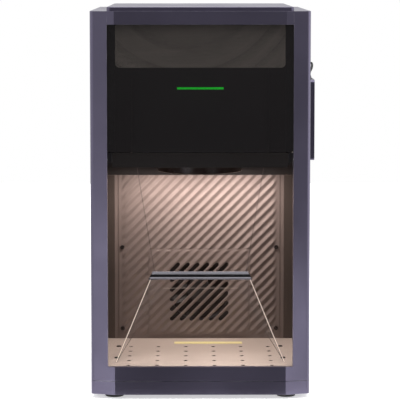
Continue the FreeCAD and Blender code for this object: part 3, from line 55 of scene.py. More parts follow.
CAMERA_SENSOR = 36
CAMERA_LENS = 205.7
CAMERA_CLIP = (0.05, 60)
CAMERA_PLACE = (-0.0175, -3.2874, 0.584)
CAMERA_TURN = (math.radians(84.286), 0, -0.0055)


def add_camera():
    data = bpy.data.cameras.new("camera")
    data.sensor_width = CAMERA_SENSOR
    data.lens = CAMERA_LENS
    data.clip_start, data.clip_end = CAMERA_CLIP
    camera = bpy.data.objects.new("camera", data)
    camera.location = CAMERA_PLACE
    camera.rotation_euler = CAMERA_TURN
    bpy.context.collection.objects.link(camera)
    bpy.context.scene.camera = camera


add_camera()


# Materials: each is one Principled shader, with mottling, grain, smears and lighter edges in
# layers; the lighter edges are rubbed wear, and on the body paint a painted edge highlight

# Width of the lighter edges: rubbed wear, and on the body paint a painted edge highlight
WEAR_AND_HIGHLIGHT_EDGE = 0.8 * MM
SHEET_ROUGHNESS = 0.04
COAT_ROUGHNESS = 0.12
GLOW_ROUGHNESS = 0.45


class Nodes:
    """A node tree with short calls for the nodes that the materials here use."""

    def __init__(self, name):
        self.material = bpy.data.materials.new(name)
        self.material.use_nodes = True
        self.tree = self.material.node_tree
        self.tree.nodes.clear()
        self.output = self.add("ShaderNodeOutputMaterial")
        self.shader = self.add("ShaderNodeBsdfPrincipled")
        self.link(self.shader.outputs[0], self.output.inputs["Surface"])
        self.place = self.add("ShaderNodeTexCoord").outputs["Object"]

    def add(self, kind, **settings):
        node = self.tree.nodes.new(kind)
        for key, value in settings.items():
            setattr(node, key, value)
        return node

    def link(self, source, target):
        self.tree.links.new(source, target)

    def set(self, **values):
        for key, value in values.items():
            self.shader.inputs[key.replace("_", " ")].default_value = value

    def stretched(self, scale):
        mapping = self.add("ShaderNodeMapping")
        self.link(self.place, mapping.inputs["Vector"])
        mapping.inputs["Scale"].default_value = scale
        return mapping.outputs[0]

    def noise(self, scale, detail=3.0, rough=0.5, at=None):
        node = self.add("ShaderNodeTexNoise")
        node.inputs["Scale"].default_value = scale
        node.inputs["Detail"].default_value = detail
        node.inputs["Roughness"].default_value = rough
        self.link(at or self.place, node.inputs["Vector"])
        return node.outputs["Fac"]

    def ramp(self, value, low, high, start=0.35, end=0.65):
        node = self.add("ShaderNodeMapRange")
        node.inputs["From Min"].default_value = start
        node.inputs["From Max"].default_value = end
        node.inputs["To Min"].default_value = low
        node.inputs["To Max"].default_value = high
        self.link(value, node.inputs["Value"])
        return node.outputs[0]

    def math(self, operation, first, second):
        node = self.add("ShaderNodeMath", operation=operation)
        for socket, value in zip(node.inputs, (first, second)):
            if isinstance(value, (int, float)):
                socket.default_value = value
            else:
                self.link(value, socket)
        return node.outputs[0]

    def mix(self, factor, first, second):
        node = self.add("ShaderNodeMix", data_type="RGBA")
        for name, value in (("Factor", factor), ("A", first), ("B", second)):
            socket = [x for x in node.inputs if x.name == name and x.type in ("VALUE", "RGBA")]
            socket = socket[0] if name == "Factor" else socket[-1]
            if isinstance(value, tuple):
                socket.default_value = (*value, 1)
            else:
                self.link(value, socket)
        return [x for x in node.outputs if x.type == "RGBA"][0]

    def edge_wear_and_highlight_mask(self):
        """1 along edges, 0 on flats: the mask of rubbed wear, and on the body paint of a painted
        edge highlight.
        """
        bevel = self.add("ShaderNodeBevel", samples=4)
        bevel.inputs["Radius"].default_value = WEAR_AND_HIGHLIGHT_EDGE
        geometry = self.add("ShaderNodeNewGeometry")
        dot = self.add("ShaderNodeVectorMath", operation="DOT_PRODUCT")
        self.link(bevel.outputs[0], dot.inputs[0])
        self.link(geometry.outputs["Normal"], dot.inputs[1])
        return self.ramp(dot.outputs["Value"], 1.0, 0.0, 0.90, 0.995)

    def bump(self, height, strength, distance):
        node = self.add("ShaderNodeBump")
        node.inputs["Strength"].default_value = strength
        node.inputs["Distance"].default_value = distance
        self.link(height, node.inputs["Height"])
        self.link(node.outputs[0], self.shader.inputs["Normal"])


def shade(color, factor):
    return tuple(min(1.0, c * factor) for c in color)


def coated(name, color, rough=0.4, metallic=0.0, grain=900, grain_depth=0.00003, tone=0.12,
           edge_wear_and_highlight=0.5, worn_and_highlight_color=None, coat=0.0):
    """Paint, powder coat or moulded plastic: mottled colour, fine grain, lighter edges, which are
    rubbed wear and on the body paint a painted edge highlight.
    """
    n = Nodes(name)
    mottle = n.ramp(n.noise(14, 4), 0, 1)
    base = n.mix(mottle, shade(color, 1 - tone), shade(color, 1 + tone))
    speck = n.ramp(n.noise(grain, 2), 0, 1, 0.3, 0.7)
    base = n.mix(n.math("MULTIPLY", speck, 0.18), base, shade(color, 1.35))
    # Lighter edges: rubbed wear, and on the body paint a painted edge highlight
    if edge_wear_and_highlight:
        patchy_wear_and_highlight = n.math("MULTIPLY", n.edge_wear_and_highlight_mask(), n.ramp(n.noise(60, 3), 0.1, 1))
        base = n.mix(n.math("MULTIPLY", patchy_wear_and_highlight, edge_wear_and_highlight), base, worn_and_highlight_color or shade(color, 1.8))
    n.link(base, n.shader.inputs["Base Color"])
    smear = n.ramp(n.noise(9, 5, 0.6), rough * 0.85, rough * 1.18)
    n.link(smear, n.shader.inputs["Roughness"])
    n.set(Metallic=metallic, Coat_Weight=coat, Coat_Roughness=COAT_ROUGHNESS)
    n.bump(n.noise(grain, 2), 0.5, grain_depth)
    return n.material


def machined(name, color, rough=0.32, along=(1, 1, 40), grain=120, tone=0.1):
    """Bare metal with tool lines, which the larger number in along makes finer, and a mottle."""
    n = Nodes(name)
    lines = n.noise(grain, 4, 0.6, n.stretched(along))
    cloud = n.ramp(n.noise(18, 4), 0, 1)
    base = n.mix(cloud, shade(color, 1 - tone), shade(color, 1 + tone))
    base = n.mix(n.math("MULTIPLY", n.ramp(lines, 0, 1), 0.25), base, shade(color, 0.7))
    n.link(base, n.shader.inputs["Base Color"])
    n.link(n.ramp(lines, rough * 0.75, rough * 1.3), n.shader.inputs["Roughness"])
    n.set(Metallic=1.0)
    n.bump(lines, 0.35, 0.00002)
    return n.material


def clear(name, color, alpha):
    """A see-through sheet: faint smears on a gloss surface."""
    n = Nodes(name)
    smear = n.ramp(n.noise(7, 5, 0.65), 0, 1, 0.4, 0.8)
    n.link(n.mix(smear, color, shade(color, 1.25)), n.shader.inputs["Base Color"])
    n.set(Roughness=SHEET_ROUGHNESS, Alpha=alpha)
    n.bump(n.noise(11, 2), 0.01, 0.0002)
    return n.material


def lit(name, color, strength, base):
    """A glowing diffuser with fine grain. On the door's creases it is a painted highlight, glowing
    though they are no lamp.
    """
    n = Nodes(name)
    grain = n.ramp(n.noise(300, 2), 0, 1)
    n.link(n.mix(grain, shade(base, 0.9), base), n.shader.inputs["Base Color"])
    n.shader.inputs["Emission Color"].default_value = (*color, 1)
    n.set(Emission_Strength=strength, Roughness=GLOW_ROUGHNESS)
    return n.material


PAINT = (0.100, 0.090, 0.137)
WALL = (0.200, 0.166, 0.155)
M = {
    # The lighter edges of this paint are a painted edge highlight: bright lines along the top and
    # side edges where light catches them
    "body_paint": coated("violet_grey_satin", PAINT, rough=0.34, metallic=0.75, grain=1500,
                         grain_depth=0.00002, tone=0.05, edge_wear_and_highlight=0.7, worn_and_highlight_color=(0.42, 0.40, 0.48)),
    "steel_black": coated("black_powder_coat", (0.008, 0.008, 0.009), rough=0.85, grain=1100,
                          grain_depth=0.00008),
    "wall_metal": coated("ribbed_wall", WALL, rough=0.55, metallic=0.25, grain=1400,
                         grain_depth=0.00002, tone=0.06, edge_wear_and_highlight=0.25, worn_and_highlight_color=(0.55, 0.45, 0.40)),
    "liner_metal": coated("chamber_liner", (0.085, 0.070, 0.062), rough=0.45, metallic=0.5,
                          grain=1400, grain_depth=0.00002, tone=0.06, edge_wear_and_highlight=0.2),
    "bed_metal": coated("blasted_bed", (0.56, 0.50, 0.45), rough=0.55, metallic=0.25, grain=1600,
                        tone=0.04, edge_wear_and_highlight=0.2),
    "bare_steel": machined("ground_steel", (0.56, 0.56, 0.58)),
    "dark_screws": coated("black_oxide", (0.018, 0.017, 0.018), rough=0.38, metallic=0.8,
                          grain_depth=0.00002, tone=0.2, edge_wear_and_highlight=0.7, worn_and_highlight_color=(0.25, 0.24, 0.24)),
    "black_plastic": coated("textured_black_plastic", (0.021, 0.020, 0.021), rough=0.48, grain=700,
                            grain_depth=0.00006),
    "gloss_black": coated("gloss_black_plastic", (0.006, 0.006, 0.007), rough=0.16, grain=500,
                          grain_depth=0.000004, tone=0.2, edge_wear_and_highlight=0.1, coat=0.15),
    "fascia_brown": coated("brown_trim", (0.62, 0.54, 0.48), rough=0.5, grain_depth=0.00004,
                           tone=0.03, edge_wear_and_highlight=0.0),
    "smoked_glass": clear("smoked_glass", (0.010, 0.008, 0.009), alpha=0.56),
    "door_acrylic": clear("door_acrylic", (0.050, 0.030, 0.024), alpha=0.10),
    "dark_metal": coated("black_anodised", (0.030, 0.028, 0.031), rough=0.30, metallic=0.9,
                         grain=1400, grain_depth=0.00001, tone=0.1, worn_and_highlight_color=(0.35, 0.34, 0.36)),
    "silver_metal": machined("milled_aluminium", (0.62, 0.62, 0.63), rough=0.36),
    "brass": machined("turned_brass", (0.70, 0.50, 0.20), rough=0.3, along=(1, 1, 30)),
    "lens_glass": clear("coated_lens", (0.20, 0.09, 0.17), alpha=0.6),
    "mirror": machined("scan_mirror", (0.86, 0.80, 0.60), rough=0.05, along=(1, 1, 1), grain=30,
                       tone=0.02),
    "rubber": coated("rubber", (0.016, 0.016, 0.016), rough=0.7, grain_depth=0.00008, tone=0.2,
                     edge_wear_and_highlight=0.3, worn_and_highlight_color=(0.06, 0.06, 0.06)),
    "label_yellow": coated("yellow_film", (0.98, 0.90, 0.42), rough=0.35, grain=700,
                           grain_depth=0.00001, tone=0.04, edge_wear_and_highlight=0.1),
    "status_green": lit("status_green", (0.004, 1.0, 0.04), strength=0.85, base=(0.0, 0.03, 0.0)),
    "light_diffuser": lit("light_diffuser", (1.0, 0.84, 0.74), strength=0.4, base=(0.9, 0.85, 0.8)),
    "board_green": coated("solder_mask", (0.02, 0.14, 0.06), rough=0.3, grain=300, tone=0.2,
                          edge_wear_and_highlight=0.2, worn_and_highlight_color=(0.6, 0.45, 0.2)),
    "magnet_metal": machined("nickel", (0.70, 0.69, 0.66), rough=0.15),
}
# Finishes of single pieces, which keep the slot of the part that they are on
FINISH = {
    # Painted highlight: the lower creases' light lines, glowing where the chamber light catches the
    # acrylic's folds
    "crease_painted_highlight": lit("crease_painted_highlight", (1.0, 0.85, 0.72), strength=0.30,
                         base=(0.62, 0.52, 0.46)),
    # Painted shade: the creases' dark lines, and the painted shadow beside each bright lower crease
    "crease_painted_shade": coated("crease_painted_shade", (0.035, 0.022, 0.020), rough=0.3, grain_depth=0.00001,
                          tone=0.1, edge_wear_and_highlight=0.0),
    # Painted highlight: the faint light line along the valley
    "valley_painted_highlight": lit("valley_painted_highlight", (1.0, 0.82, 0.70), strength=0.10, base=(0.30, 0.24, 0.21)),
    "grip_metal": machined("polished_dark_metal", (0.14, 0.135, 0.15), rough=0.20, along=(40, 1, 1),
                           grain=60, tone=0.08),
}


def dress_nodes():
    for entry in frame["record"]["subparts"]:
        piece = nodes[entry["node"]]
        piece.data.materials.clear()
        piece.data.materials.append(M[entry["material_slot"]])


dress_nodes()


# Helpers for pieces

def body_of(node):
    for body, members in frame["record"]["behaviour"]["bodies"].items():
        if node in members:
            return body
    raise KeyError(node)


def finish_piece(name, mesh, slot, node=None, body=None, smooth=None):
    """Puts a mesh into the scene. It stands for the CAD node, if there is one, and rides on that
    node's body or on the body named."""
    piece = bpy.data.objects.new(name, mesh)
    bpy.context.collection.objects.link(piece)
    mesh.materials.append(M[slot])
    if smooth is not None:
        mesh.shade_smooth()
        mesh.set_sharp_from_angle(angle=math.radians(smooth))
    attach(piece, body or body_of(node))
    if node:
        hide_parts(node)
    return piece


def mesh_from(name, build):
    bm = bmesh.new()
    build(bm)
    bmesh.ops.recalc_face_normals(bm, faces=bm.faces)
    mesh = bpy.data.meshes.new(name)
    bm.to_mesh(mesh)
    bm.free()
    return mesh


def rim_of(across, up):
    """The points round a grid of cells, as (row, column) pairs in order."""
    rim = [(0, i) for i in range(across)] + [(j, across) for j in range(up)]
    return rim + [(up, across - i) for i in range(across)] + [(up - j, 0) for j in range(up)]


def heightfield(bm, low, high, front, rear, step):
    """A closed slab on the XZ plane whose front is at Y = front(x, z)."""
    across = max(2, round((high[0] - low[0]) / step))
    up = max(2, round((high[1] - low[1]) / step))
    face, back = [], []
    for j in range(up + 1):
        z = low[1] + (high[1] - low[1]) * j / up
        row, under = [], []
        for i in range(across + 1):
            x = low[0] + (high[0] - low[0]) * i / across
            row.append(bm.verts.new((x, front(x, z), z)))
            if j in (0, up) or i in (0, across):
                under.append(bm.verts.new((x, rear, z)))
            else:
                under.append(None)
        face.append(row)
        back.append(under)
    for j in range(up):
        for i in range(across):
            bm.faces.new((face[j][i], face[j][i + 1], face[j + 1][i + 1], face[j + 1][i]))
    rim = rim_of(across, up)
    for (j, i), (next_j, next_i) in zip(rim, rim[1:] + rim[:1]):
        bm.faces.new((face[j][i], back[j][i], back[next_j][next_i], face[next_j][next_i]))
    bm.faces.new([back[j][i] for j, i in reversed(rim)])


def ramp_between(value, start, end):
    """0 before start, 1 after end, and smooth between them."""
    share = min(1.0, max(0.0, (value - start) / (end - start)))
    return share * share * (3 - 2 * share)


# Back wall and fan cover: ridges at 45 degrees, which die out towards the wall's side margins and
# foot and towards the cover's edges. The wall is flat behind the cover.

RIDGE_PITCH = 14.5 * MM
RIDGE_SHARPNESS = 1.3
WALL_RIDGE = 1.7 * MM
WALL_VALLEY = 1.2 * MM
WALL_BEHIND_COVER = 0.8 * MM
MARGIN_STEP = 0.7 * MM
COVER_RIDGE = 1.3 * MM
FAN_LEVEL = 108.3 * MM
RIBBED_HALF = 125.4 * MM
THROAT_HALF = 46 * MM
GRILLE_HALF = 43.0 * MM
GRILLE_SLOT_HALF = 3.0 * MM
SHORTEST_SLOT = 8 * MM
CUT_PAST = 3 * MM


def ridge(x, z):
    """0 in a valley, 1 on a crest. Crests run up to the right."""
    phase = (x - z + FAN_LEVEL) / RIDGE_PITCH
    wave = 0.5 - 0.5 * math.cos(2 * math.pi * phase)
    return wave ** RIDGE_SHARPNESS


def add_back_wall():
    low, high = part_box("back_wall")
    cover_low, cover_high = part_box("fan_cover")
    middle = (low.x + high.x) / 2

    def front(x, z):
        if cover_low.x < x < cover_high.x and cover_low.z < z < cover_high.z:
            return low.y + WALL_BEHIND_COVER
        aside = RIBBED_HALF - abs(x - middle)
        fade = (ramp_between(aside, 9 * MM, 17 * MM)
                * ramp_between(z - low.z, 4 * MM, 12 * MM))
        step = MARGIN_STEP if aside < 5 * MM else 0.0
        return low.y + WALL_VALLEY + step - WALL_RIDGE * ridge(x, z) * fade

    def throat(bm):
        outline = [(-1, -1), (1, -1), (1, 1), (-1, 1)]
        prism(bm, outline, lambda u, v, y: (THROAT_HALF * u, y, FAN_LEVEL + THROAT_HALF * v),
              low.y - CUT_PAST, high.y + CUT_PAST)

    slab = mesh_from("back_wall_slab", lambda bm: heightfield(
        bm, (low.x, low.z), (high.x, high.z), front, high.y, 1.0 * MM))
    mesh = cut_away(slab, mesh_from("throat", throat))
    finish_piece("ribbed_back_wall", mesh, "wall_metal", "back_wall", smooth=50)

    def margins(bm):
        inner, outer = RIBBED_HALF + 0.4 * MM, high.x - 0.2 * MM
        foot, head = low.z + 0.5 * MM, high.z - 0.3 * MM
        for side in (-1, 1):
            outline = [(side * inner, foot), (side * outer, foot),
                       (side * outer, head), (side * inner, head)]
            prism(bm, outline, lambda u, v, y: (u, y, v), low.y + 0.4 * MM, low.y + 1.5 * MM)

    finish_piece("back_wall_margins", mesh_from("back_wall_margins", margins), "liner_metal",
                 body="cabinet")


def slot_outline(length, half_width):
    """A pill along its own first axis."""
    steps = 8
    points = []
    straight = length / 2 - half_width
    for side, centre in ((1, straight), (-1, -straight)):
        for i in range(steps + 1):
            angle = -math.pi / 2 + math.pi * i / steps
            points.append((centre + side * half_width * math.cos(angle),
                           side * half_width * math.sin(angle)))
    return points


def prism(bm, outline, place, low, high):
    """A closed prism between two levels. place(u, v, level) gives a point."""
    under = [bm.verts.new(place(u, v, low)) for u, v in outline]
    over = [bm.verts.new(place(u, v, high)) for u, v in outline]
    count = len(outline)
    for i in range(count):
        k = (i + 1) % count
        bm.faces.new((under[i], under[k], over[k], over[i]))
    bm.faces.new(list(reversed(under)))
    bm.faces.new(over)


def cut_away(mesh, cutter):
    """The mesh less the cutter."""
    first = bpy.data.objects.new("cut_body", mesh)
    second = bpy.data.objects.new("cut_tool", cutter)
    for piece in (first, second):
        bpy.context.collection.objects.link(piece)
    boolean = first.modifiers.new("cut", "BOOLEAN")
    boolean.object = second
    boolean.operation = "DIFFERENCE"
    boolean.solver = "EXACT"
    graph = bpy.context.evaluated_depsgraph_get()
    result = bpy.data.meshes.new_from_object(first.evaluated_get(graph))
    bpy.data.objects.remove(first)
    bpy.data.objects.remove(second)
    return result


def add_fan_cover():
    low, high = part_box("fan_cover")
    root = math.sqrt(0.5)

    def front(x, z):
        aside = min(x - low.x, high.x - x, z - low.z, high.z - z)
        fade = ramp_between(aside, 0.6 * MM, 3 * MM)
        return low.y + COVER_RIDGE - COVER_RIDGE * ridge(x, z) * fade

    def cutters(bm):
        for number in range(-5, 6):
            offset = number * RIDGE_PITCH
            reach = (2 * GRILLE_HALF - abs(offset)) * math.sqrt(2) / 2
            if reach < SHORTEST_SLOT:
                continue
            centre_x, centre_z = offset / 2, FAN_LEVEL - offset / 2
            prism(bm, slot_outline(2 * reach, GRILLE_SLOT_HALF),
                  lambda u, v, y: (centre_x + (u - v) * root, y, centre_z + (u + v) * root),
                  low.y - CUT_PAST, high.y + CUT_PAST)

    slab = mesh_from("fan_cover_slab", lambda bm: heightfield(
        bm, (low.x, low.z), (high.x, high.z), front, high.y, 1.2 * MM))
    mesh = cut_away(slab, mesh_from("slots", cutters))
    finish_piece("ribbed_fan_cover", mesh, "wall_metal", "fan_cover", smooth=50)


add_back_wall()
add_fan_cover()


# Door: the moulded creases, drawn as beads of painted highlight and painted shade, the dark band
# behind its top and the grip bar

# Each bead's width and height
BRIGHT_BEAD = (1.0 * MM, 0.35 * MM)
SLOPE_BEAD = (0.7 * MM, 0.2 * MM)
TIP_BEAD = (0.6 * MM, 0.15 * MM)
SHADOW_BEAD = (0.4 * MM, 0.15 * MM)
VALLEY_BEAD = (0.45 * MM, 0.15 * MM)


def strip_between(bm, first, second, normal, width, lift):
    """A thin rounded bead along a straight edge."""
    along = (second - first).normalized()
    side = along.cross(normal).normalized()
    steps = 5
    rings = []
    for end in (first, second):
        ring = []
        for i in range(steps + 1):
            angle = math.pi * i / steps
            ring.append(bm.verts.new(end + side * (width / 2 * math.cos(angle))
                                     + normal * (lift * math.sin(angle))))
        rings.append(ring)
    for i in range(steps):
        bm.faces.new((rings[0][i], rings[0][i + 1], rings[1][i + 1], rings[1][i]))
    bm.faces.new((rings[0][0], rings[1][0], rings[1][steps], rings[0][steps]))
    bm.faces.new(rings[0])
    bm.faces.new(list(reversed(rings[1])))


def add_door_pieces():
    """Beads along the moulded sheet's creases: painted highlights on the lower creases and the
    valley, painted shade on the upper creases and from the tips, and a painted shadow beside each
    lower crease; and a thin band behind its top. A corner of the creases is (distance from the
    middle, height, depth behind the sheet's face)."""
    low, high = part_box("door_window")
    grip_low, grip_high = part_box("door_grip")
    face = low.y
    out = Vector((0, -1, 0))
    top = (86 * MM, high.z - 20.5 * MM, 0)
    waist_high = (62.5 * MM, grip_high.z, 0)
    waist_low = (68 * MM, grip_low.z, 0)
    tip = (115 * MM, low.z + 5.8 * MM, 0)
    valley = (52 * MM, low.z + 105.8 * MM, 15 * MM)

    def spot(corner, side):
        return Vector((side * corner[0], face + corner[2], corner[1]))

    # Painted highlights along the lower creases, from the tips to the grip
    def bright(bm):
        for side in (-1, 1):
            strip_between(bm, spot(tip, side), spot(waist_low, side), out, *BRIGHT_BEAD)

    # Painted shade along the upper creases and from the tips, and a painted shadow beside each
    # lower bright crease
    def dark(bm):
        for side in (-1, 1):
            strip_between(bm, spot(top, side), spot(waist_high, side), out, *SLOPE_BEAD)
            near_tip = spot(tip, side).lerp(spot(valley, side), 0.02)
            strip_between(bm, near_tip, near_tip.lerp(spot(valley, side), 0.42), out, *TIP_BEAD)
            beside = Vector((-side * 1.0 * MM, -0.1 * MM, 0))
            strip_between(bm, spot(tip, side) + beside, spot(waist_low, side) + beside, out,
                          *SHADOW_BEAD)

    # A painted highlight along the valley
    def faint(bm):
        strip_between(bm, spot(valley, -1), spot(valley, 1), out, *VALLEY_BEAD)

    for name, build, finish in (("crease_highlights", bright, "crease_painted_highlight"),
                                ("crease_shadows", dark, "crease_painted_shade"),
                                ("valley_line", faint, "valley_painted_highlight")):
        piece = finish_piece(name, mesh_from(name, build), "door_acrylic", body="door", smooth=60)
        piece.data.materials[0] = FINISH[finish]

    def band(bm):
        half, foot, head = 119.8 * MM, high.z - 20.2 * MM, high.z - 0.3 * MM
        outline = [(-half, foot), (half, foot), (half, head), (-half, head)]
        rear, half_thick = face + 4 * MM, 0.03 * MM
        prism(bm, outline, lambda u, v, y: (u, y, v), rear - half_thick, rear + half_thick)

    finish_piece("door_top_band", mesh_from("door_top_band", band), "gloss_black", body="door")


def add_grip():
    """The bar across the recess: chamfers above and below a sunk face, and slanted ends."""
    low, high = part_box("door_grip")
    tall = high.z - low.z
    deep = high.y - low.y
    # Shares of the depth and of the height
    profile = [(0.0, 0.0), (0.55, 0.0), (1.0, 0.14), (1.0, 0.20), (0.80, 0.26), (0.74, 0.40),
               (0.80, 0.56), (1.0, 0.62), (1.0, 0.68), (0.45, 0.94), (0.30, 1.0), (0.0, 1.0)]
    wide, narrow, end_draft = high.x, 65.5 * MM, 0.8 * MM

    def build(bm):
        rings = []
        for side in (-1, 1):
            ring = []
            for forward, up in profile:
                half = wide + (narrow - wide) * up - (end_draft * forward)
                ring.append(bm.verts.new((side * half, high.y - deep * forward, low.z + tall * up)))
            rings.append(ring)
        count = len(profile)
        for i in range(count):
            k = (i + 1) % count
            bm.faces.new((rings[0][i], rings[0][k], rings[1][k], rings[1][i]))
        bm.faces.new(rings[0])
        bm.faces.new(list(reversed(rings[1])))

    piece = finish_piece("grip_bar", mesh_from("grip_bar", build), "dark_metal", "door_grip",
                         smooth=25)
    piece.data.materials[0] = FINISH["grip_metal"]


add_door_pieces()
add_grip()


# Small parts

def solids_of(node):
    """The lowest and highest corner of each separate solid of a CAD node."""
    mesh = nodes[node].data
    parent = list(range(len(mesh.vertices)))

    def root(i):
        while parent[i] != i:
            parent[i] = parent[parent[i]]
            i = parent[i]
        return i

    seen = {}
    for vertex in mesh.vertices:
        key = tuple(round(c * 1e6) for c in vertex.co)
        first = seen.setdefault(key, vertex.index)
        parent[root(vertex.index)] = root(first)
    for edge in mesh.edges:
        parent[root(edge.vertices[0])] = root(edge.vertices[1])
    groups = {}
    for vertex in mesh.vertices:
        groups.setdefault(root(vertex.index), []).append(vertex.co)
    boxes = []
    for points in groups.values():
        boxes.append((Vector([min(p[k] for p in points) for k in range(3)]),
                      Vector([max(p[k] for p in points) for k in range(3)])))
    return sorted(boxes, key=lambda box: tuple(round(c, 6) for c in box[0]))


def turn_to(axis):
    return Vector((0, 0, 1)).rotation_difference(Vector(axis))


def ring_of(bm, centre, turn, radius, height, steps):
    """The vertices of one circle round a turned axis."""
    return [bm.verts.new(Vector(centre) + turn @ Vector((
        radius * math.cos(2 * math.pi * i / steps),
        radius * math.sin(2 * math.pi * i / steps), height))) for i in range(steps)]


def lathe(bm, profile, centre, axis, steps):
    """Turns a profile of (radius, height) pairs round an axis."""
    turn = turn_to(axis)
    rings = []
    for radius, height in profile:
        if radius < 1e-7:
            rings.append([bm.verts.new(Vector(centre) + turn @ Vector((0, 0, height)))])
            continue
        rings.append(ring_of(bm, centre, turn, radius, height, steps))
    for first, second in zip(rings, rings[1:]):
        for i in range(steps):
            k = (i + 1) % steps
            if len(first) == 1 and len(second) > 1:
                bm.faces.new((first[0], second[i], second[k]))
            elif len(second) == 1 and len(first) > 1:
                bm.faces.new((first[i], first[k], second[0]))
            elif len(first) > 1:
                bm.faces.new((first[i], first[k], second[k], second[i]))
    for ring in (rings[0], rings[-1]):
        if len(ring) > 1:
            bm.faces.new(ring if ring is rings[-1] else list(reversed(ring)))


def turned_tube(bm, profile, centre, axis, steps):
    """Turns a closed profile, whose last point is its first, round an axis."""
    turn = turn_to(axis)
    rings = [ring_of(bm, centre, turn, radius, height, steps) for radius, height in profile[:-1]]
    for first, second in zip(rings, rings[1:] + rings[:1]):
        for i in range(steps):
            k = (i + 1) % steps
            bm.faces.new((first[i], first[k], second[k], second[i]))


SCREW_STEPS = 24
SCREW_HEAD = 1.6 * MM
WELL_LIP, WELL_FLOOR = 0.62, 0.58


def hexagon_well(bm, centre, axis, radius, top, floor):
    """The ring from a round rim down into a six-sided well, and the well's floor."""
    turn = turn_to(axis)
    count = SCREW_STEPS

    def spot(r, i, h, six):
        angle = 2 * math.pi * i / count
        reach = r
        if six:
            local = (angle + math.pi / 6) % (math.pi / 3) - math.pi / 6
            reach = r * math.cos(math.pi / 6) / math.cos(local)
        return bm.verts.new(Vector(centre) + turn @ Vector((
            reach * math.cos(angle), reach * math.sin(angle), h)))

    outer = [spot(radius, i, top, False) for i in range(count)]
    lip = [spot(radius * WELL_LIP, i, top, True) for i in range(count)]
    deep = [spot(radius * WELL_FLOOR, i, floor, True) for i in range(count)]
    for i in range(count):
        k = (i + 1) % count
        bm.faces.new((outer[i], outer[k], lip[k], lip[i]))
        bm.faces.new((lip[i], lip[k], deep[k], deep[i]))
    bm.faces.new(deep)
    return outer


def screw(bm, centre, axis, head, tall, shank, length):
    """A button head with a hexagon well, from its seat, and a shank below it."""
    turn = turn_to(axis)
    previous = hexagon_well(bm, centre, axis, head * 0.72, tall, tall * 0.35)
    for radius, height in ((head * 0.88, tall * 0.86), (head * 0.97, tall * 0.55),
                           (head, tall * 0.2), (head, 0.0), (shank, 0.0), (shank, -length)):
        ring = ring_of(bm, centre, turn, radius, height, SCREW_STEPS)
        for i in range(SCREW_STEPS):
            k = (i + 1) % SCREW_STEPS
            bm.faces.new((previous[i], ring[i], ring[k], previous[k]))
        previous = ring
    bm.faces.new(previous)


def add_screws():
    for node, axis in (("back_wall_screws", (0, -1, 0)), ("rear_panel_screws", (0, 1, 0)),
                       ("bed_screws", (0, 0, 1))):
        k = max(range(3), key=lambda i: abs(axis[i]))
        across = [i for i in range(3) if i != k][0]

        def build(bm):
            for low, high in solids_of(node):
                seat = (low + high) / 2
                seat[k] = high[k] - SCREW_HEAD if axis[k] > 0 else low[k] + SCREW_HEAD
                head = (high[across] - low[across]) / 2
                length = (high[k] - low[k]) - SCREW_HEAD
                screw(bm, seat, axis, head, SCREW_HEAD, head * 0.5, length)

        finish_piece(node + "_turned", mesh_from(node, build), "dark_screws", node, smooth=35)


def add_feet():
    """Round feet with a dimple underneath and rounded rims."""
    def build(bm):
        for low, high in solids_of("rubber_feet"):
            r = (high.x - low.x) / 2
            tall = high.z - low.z
            centre = ((low.x + high.x) / 2, (low.y + high.y) / 2, low.z)
            profile = [(0, 0.5 * MM), (r * 0.35, 0.5 * MM), (r * 0.42, 0), (r - 1.6 * MM, 0),
                       (r - 0.5 * MM, 0.45 * MM), (r - 0.1 * MM, 1.5 * MM), (r, tall * 0.55),
                       (r, tall - 0.6 * MM), (r - 0.5 * MM, tall), (0, tall)]
            lathe(bm, profile, centre, (0, 0, 1), 48)

    finish_piece("turned_feet", mesh_from("turned_feet", build), "rubber", "rubber_feet", smooth=35)


BED_HOLE = 2.1 * MM
BED_HOLE_PITCH = 40
BED_FIRST_ROW = 43.5
BED_COLUMNS, BED_ROWS = 6, 5


def add_hole_rims():
    """Blackened inserts round the bed's threaded holes."""
    low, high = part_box("work_bed")
    profile = [(BED_HOLE, -1.0 * MM), (3.1 * MM, -1.0 * MM), (3.1 * MM, 0.10 * MM),
               (2.2 * MM, 0.14 * MM), (BED_HOLE, 0.05 * MM), (BED_HOLE, -1.0 * MM)]

    def build(bm):
        for column in range(BED_COLUMNS):
            for row in range(BED_ROWS):
                place = ((column - (BED_COLUMNS - 1) / 2) * BED_HOLE_PITCH * MM,
                         low.y + (BED_FIRST_ROW + BED_HOLE_PITCH * row) * MM, high.z)
                turned_tube(bm, profile, place, (0, 0, 1), 20)

    finish_piece("bed_inserts", mesh_from("bed_inserts", build), "dark_screws", body="cabinet",
                 smooth=35)


def add_lead_screw():
    """A trapezoidal thread of four starts with a lead of 8 mm, and plain ends."""
    low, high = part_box("lead_screw")
    centre = (low + high) / 2
    outer = (high.x - low.x) / 2
    depth = 0.9 * MM
    starts, lead, around = 4, 8 * MM, 32
    foot_end, top_end = 12 * MM, 19 * MM
    flat, flank = 0.12, 0.2
    levels = round((high.z - low.z) / (0.4 * MM))

    def build(bm):
        rings = []
        for j in range(levels + 1):
            z = low.z + (high.z - low.z) * j / levels
            plain = z - low.z < foot_end or high.z - z < top_end
            ring = []
            for i in range(around):
                angle = 2 * math.pi * i / around
                phase = (z / lead * starts - angle / (2 * math.pi) * starts) % 1.0
                crest = min(1.0, max(0.0, (abs(phase - 0.5) - flat) / flank))
                r = outer - (0.0 if plain else depth * (1 - crest))
                ring.append(bm.verts.new((centre.x + r * math.cos(angle),
                                          centre.y + r * math.sin(angle), z)))
            rings.append(ring)
        for first, second in zip(rings, rings[1:]):
            for i in range(around):
                k = (i + 1) % around
                bm.faces.new((first[i], first[k], second[k], second[i]))
        bm.faces.new(list(reversed(rings[0])))
        bm.faces.new(rings[-1])

    finish_piece("threaded_lead_screw", mesh_from("threaded_lead_screw", build), "bare_steel",
                 "lead_screw", smooth=40)


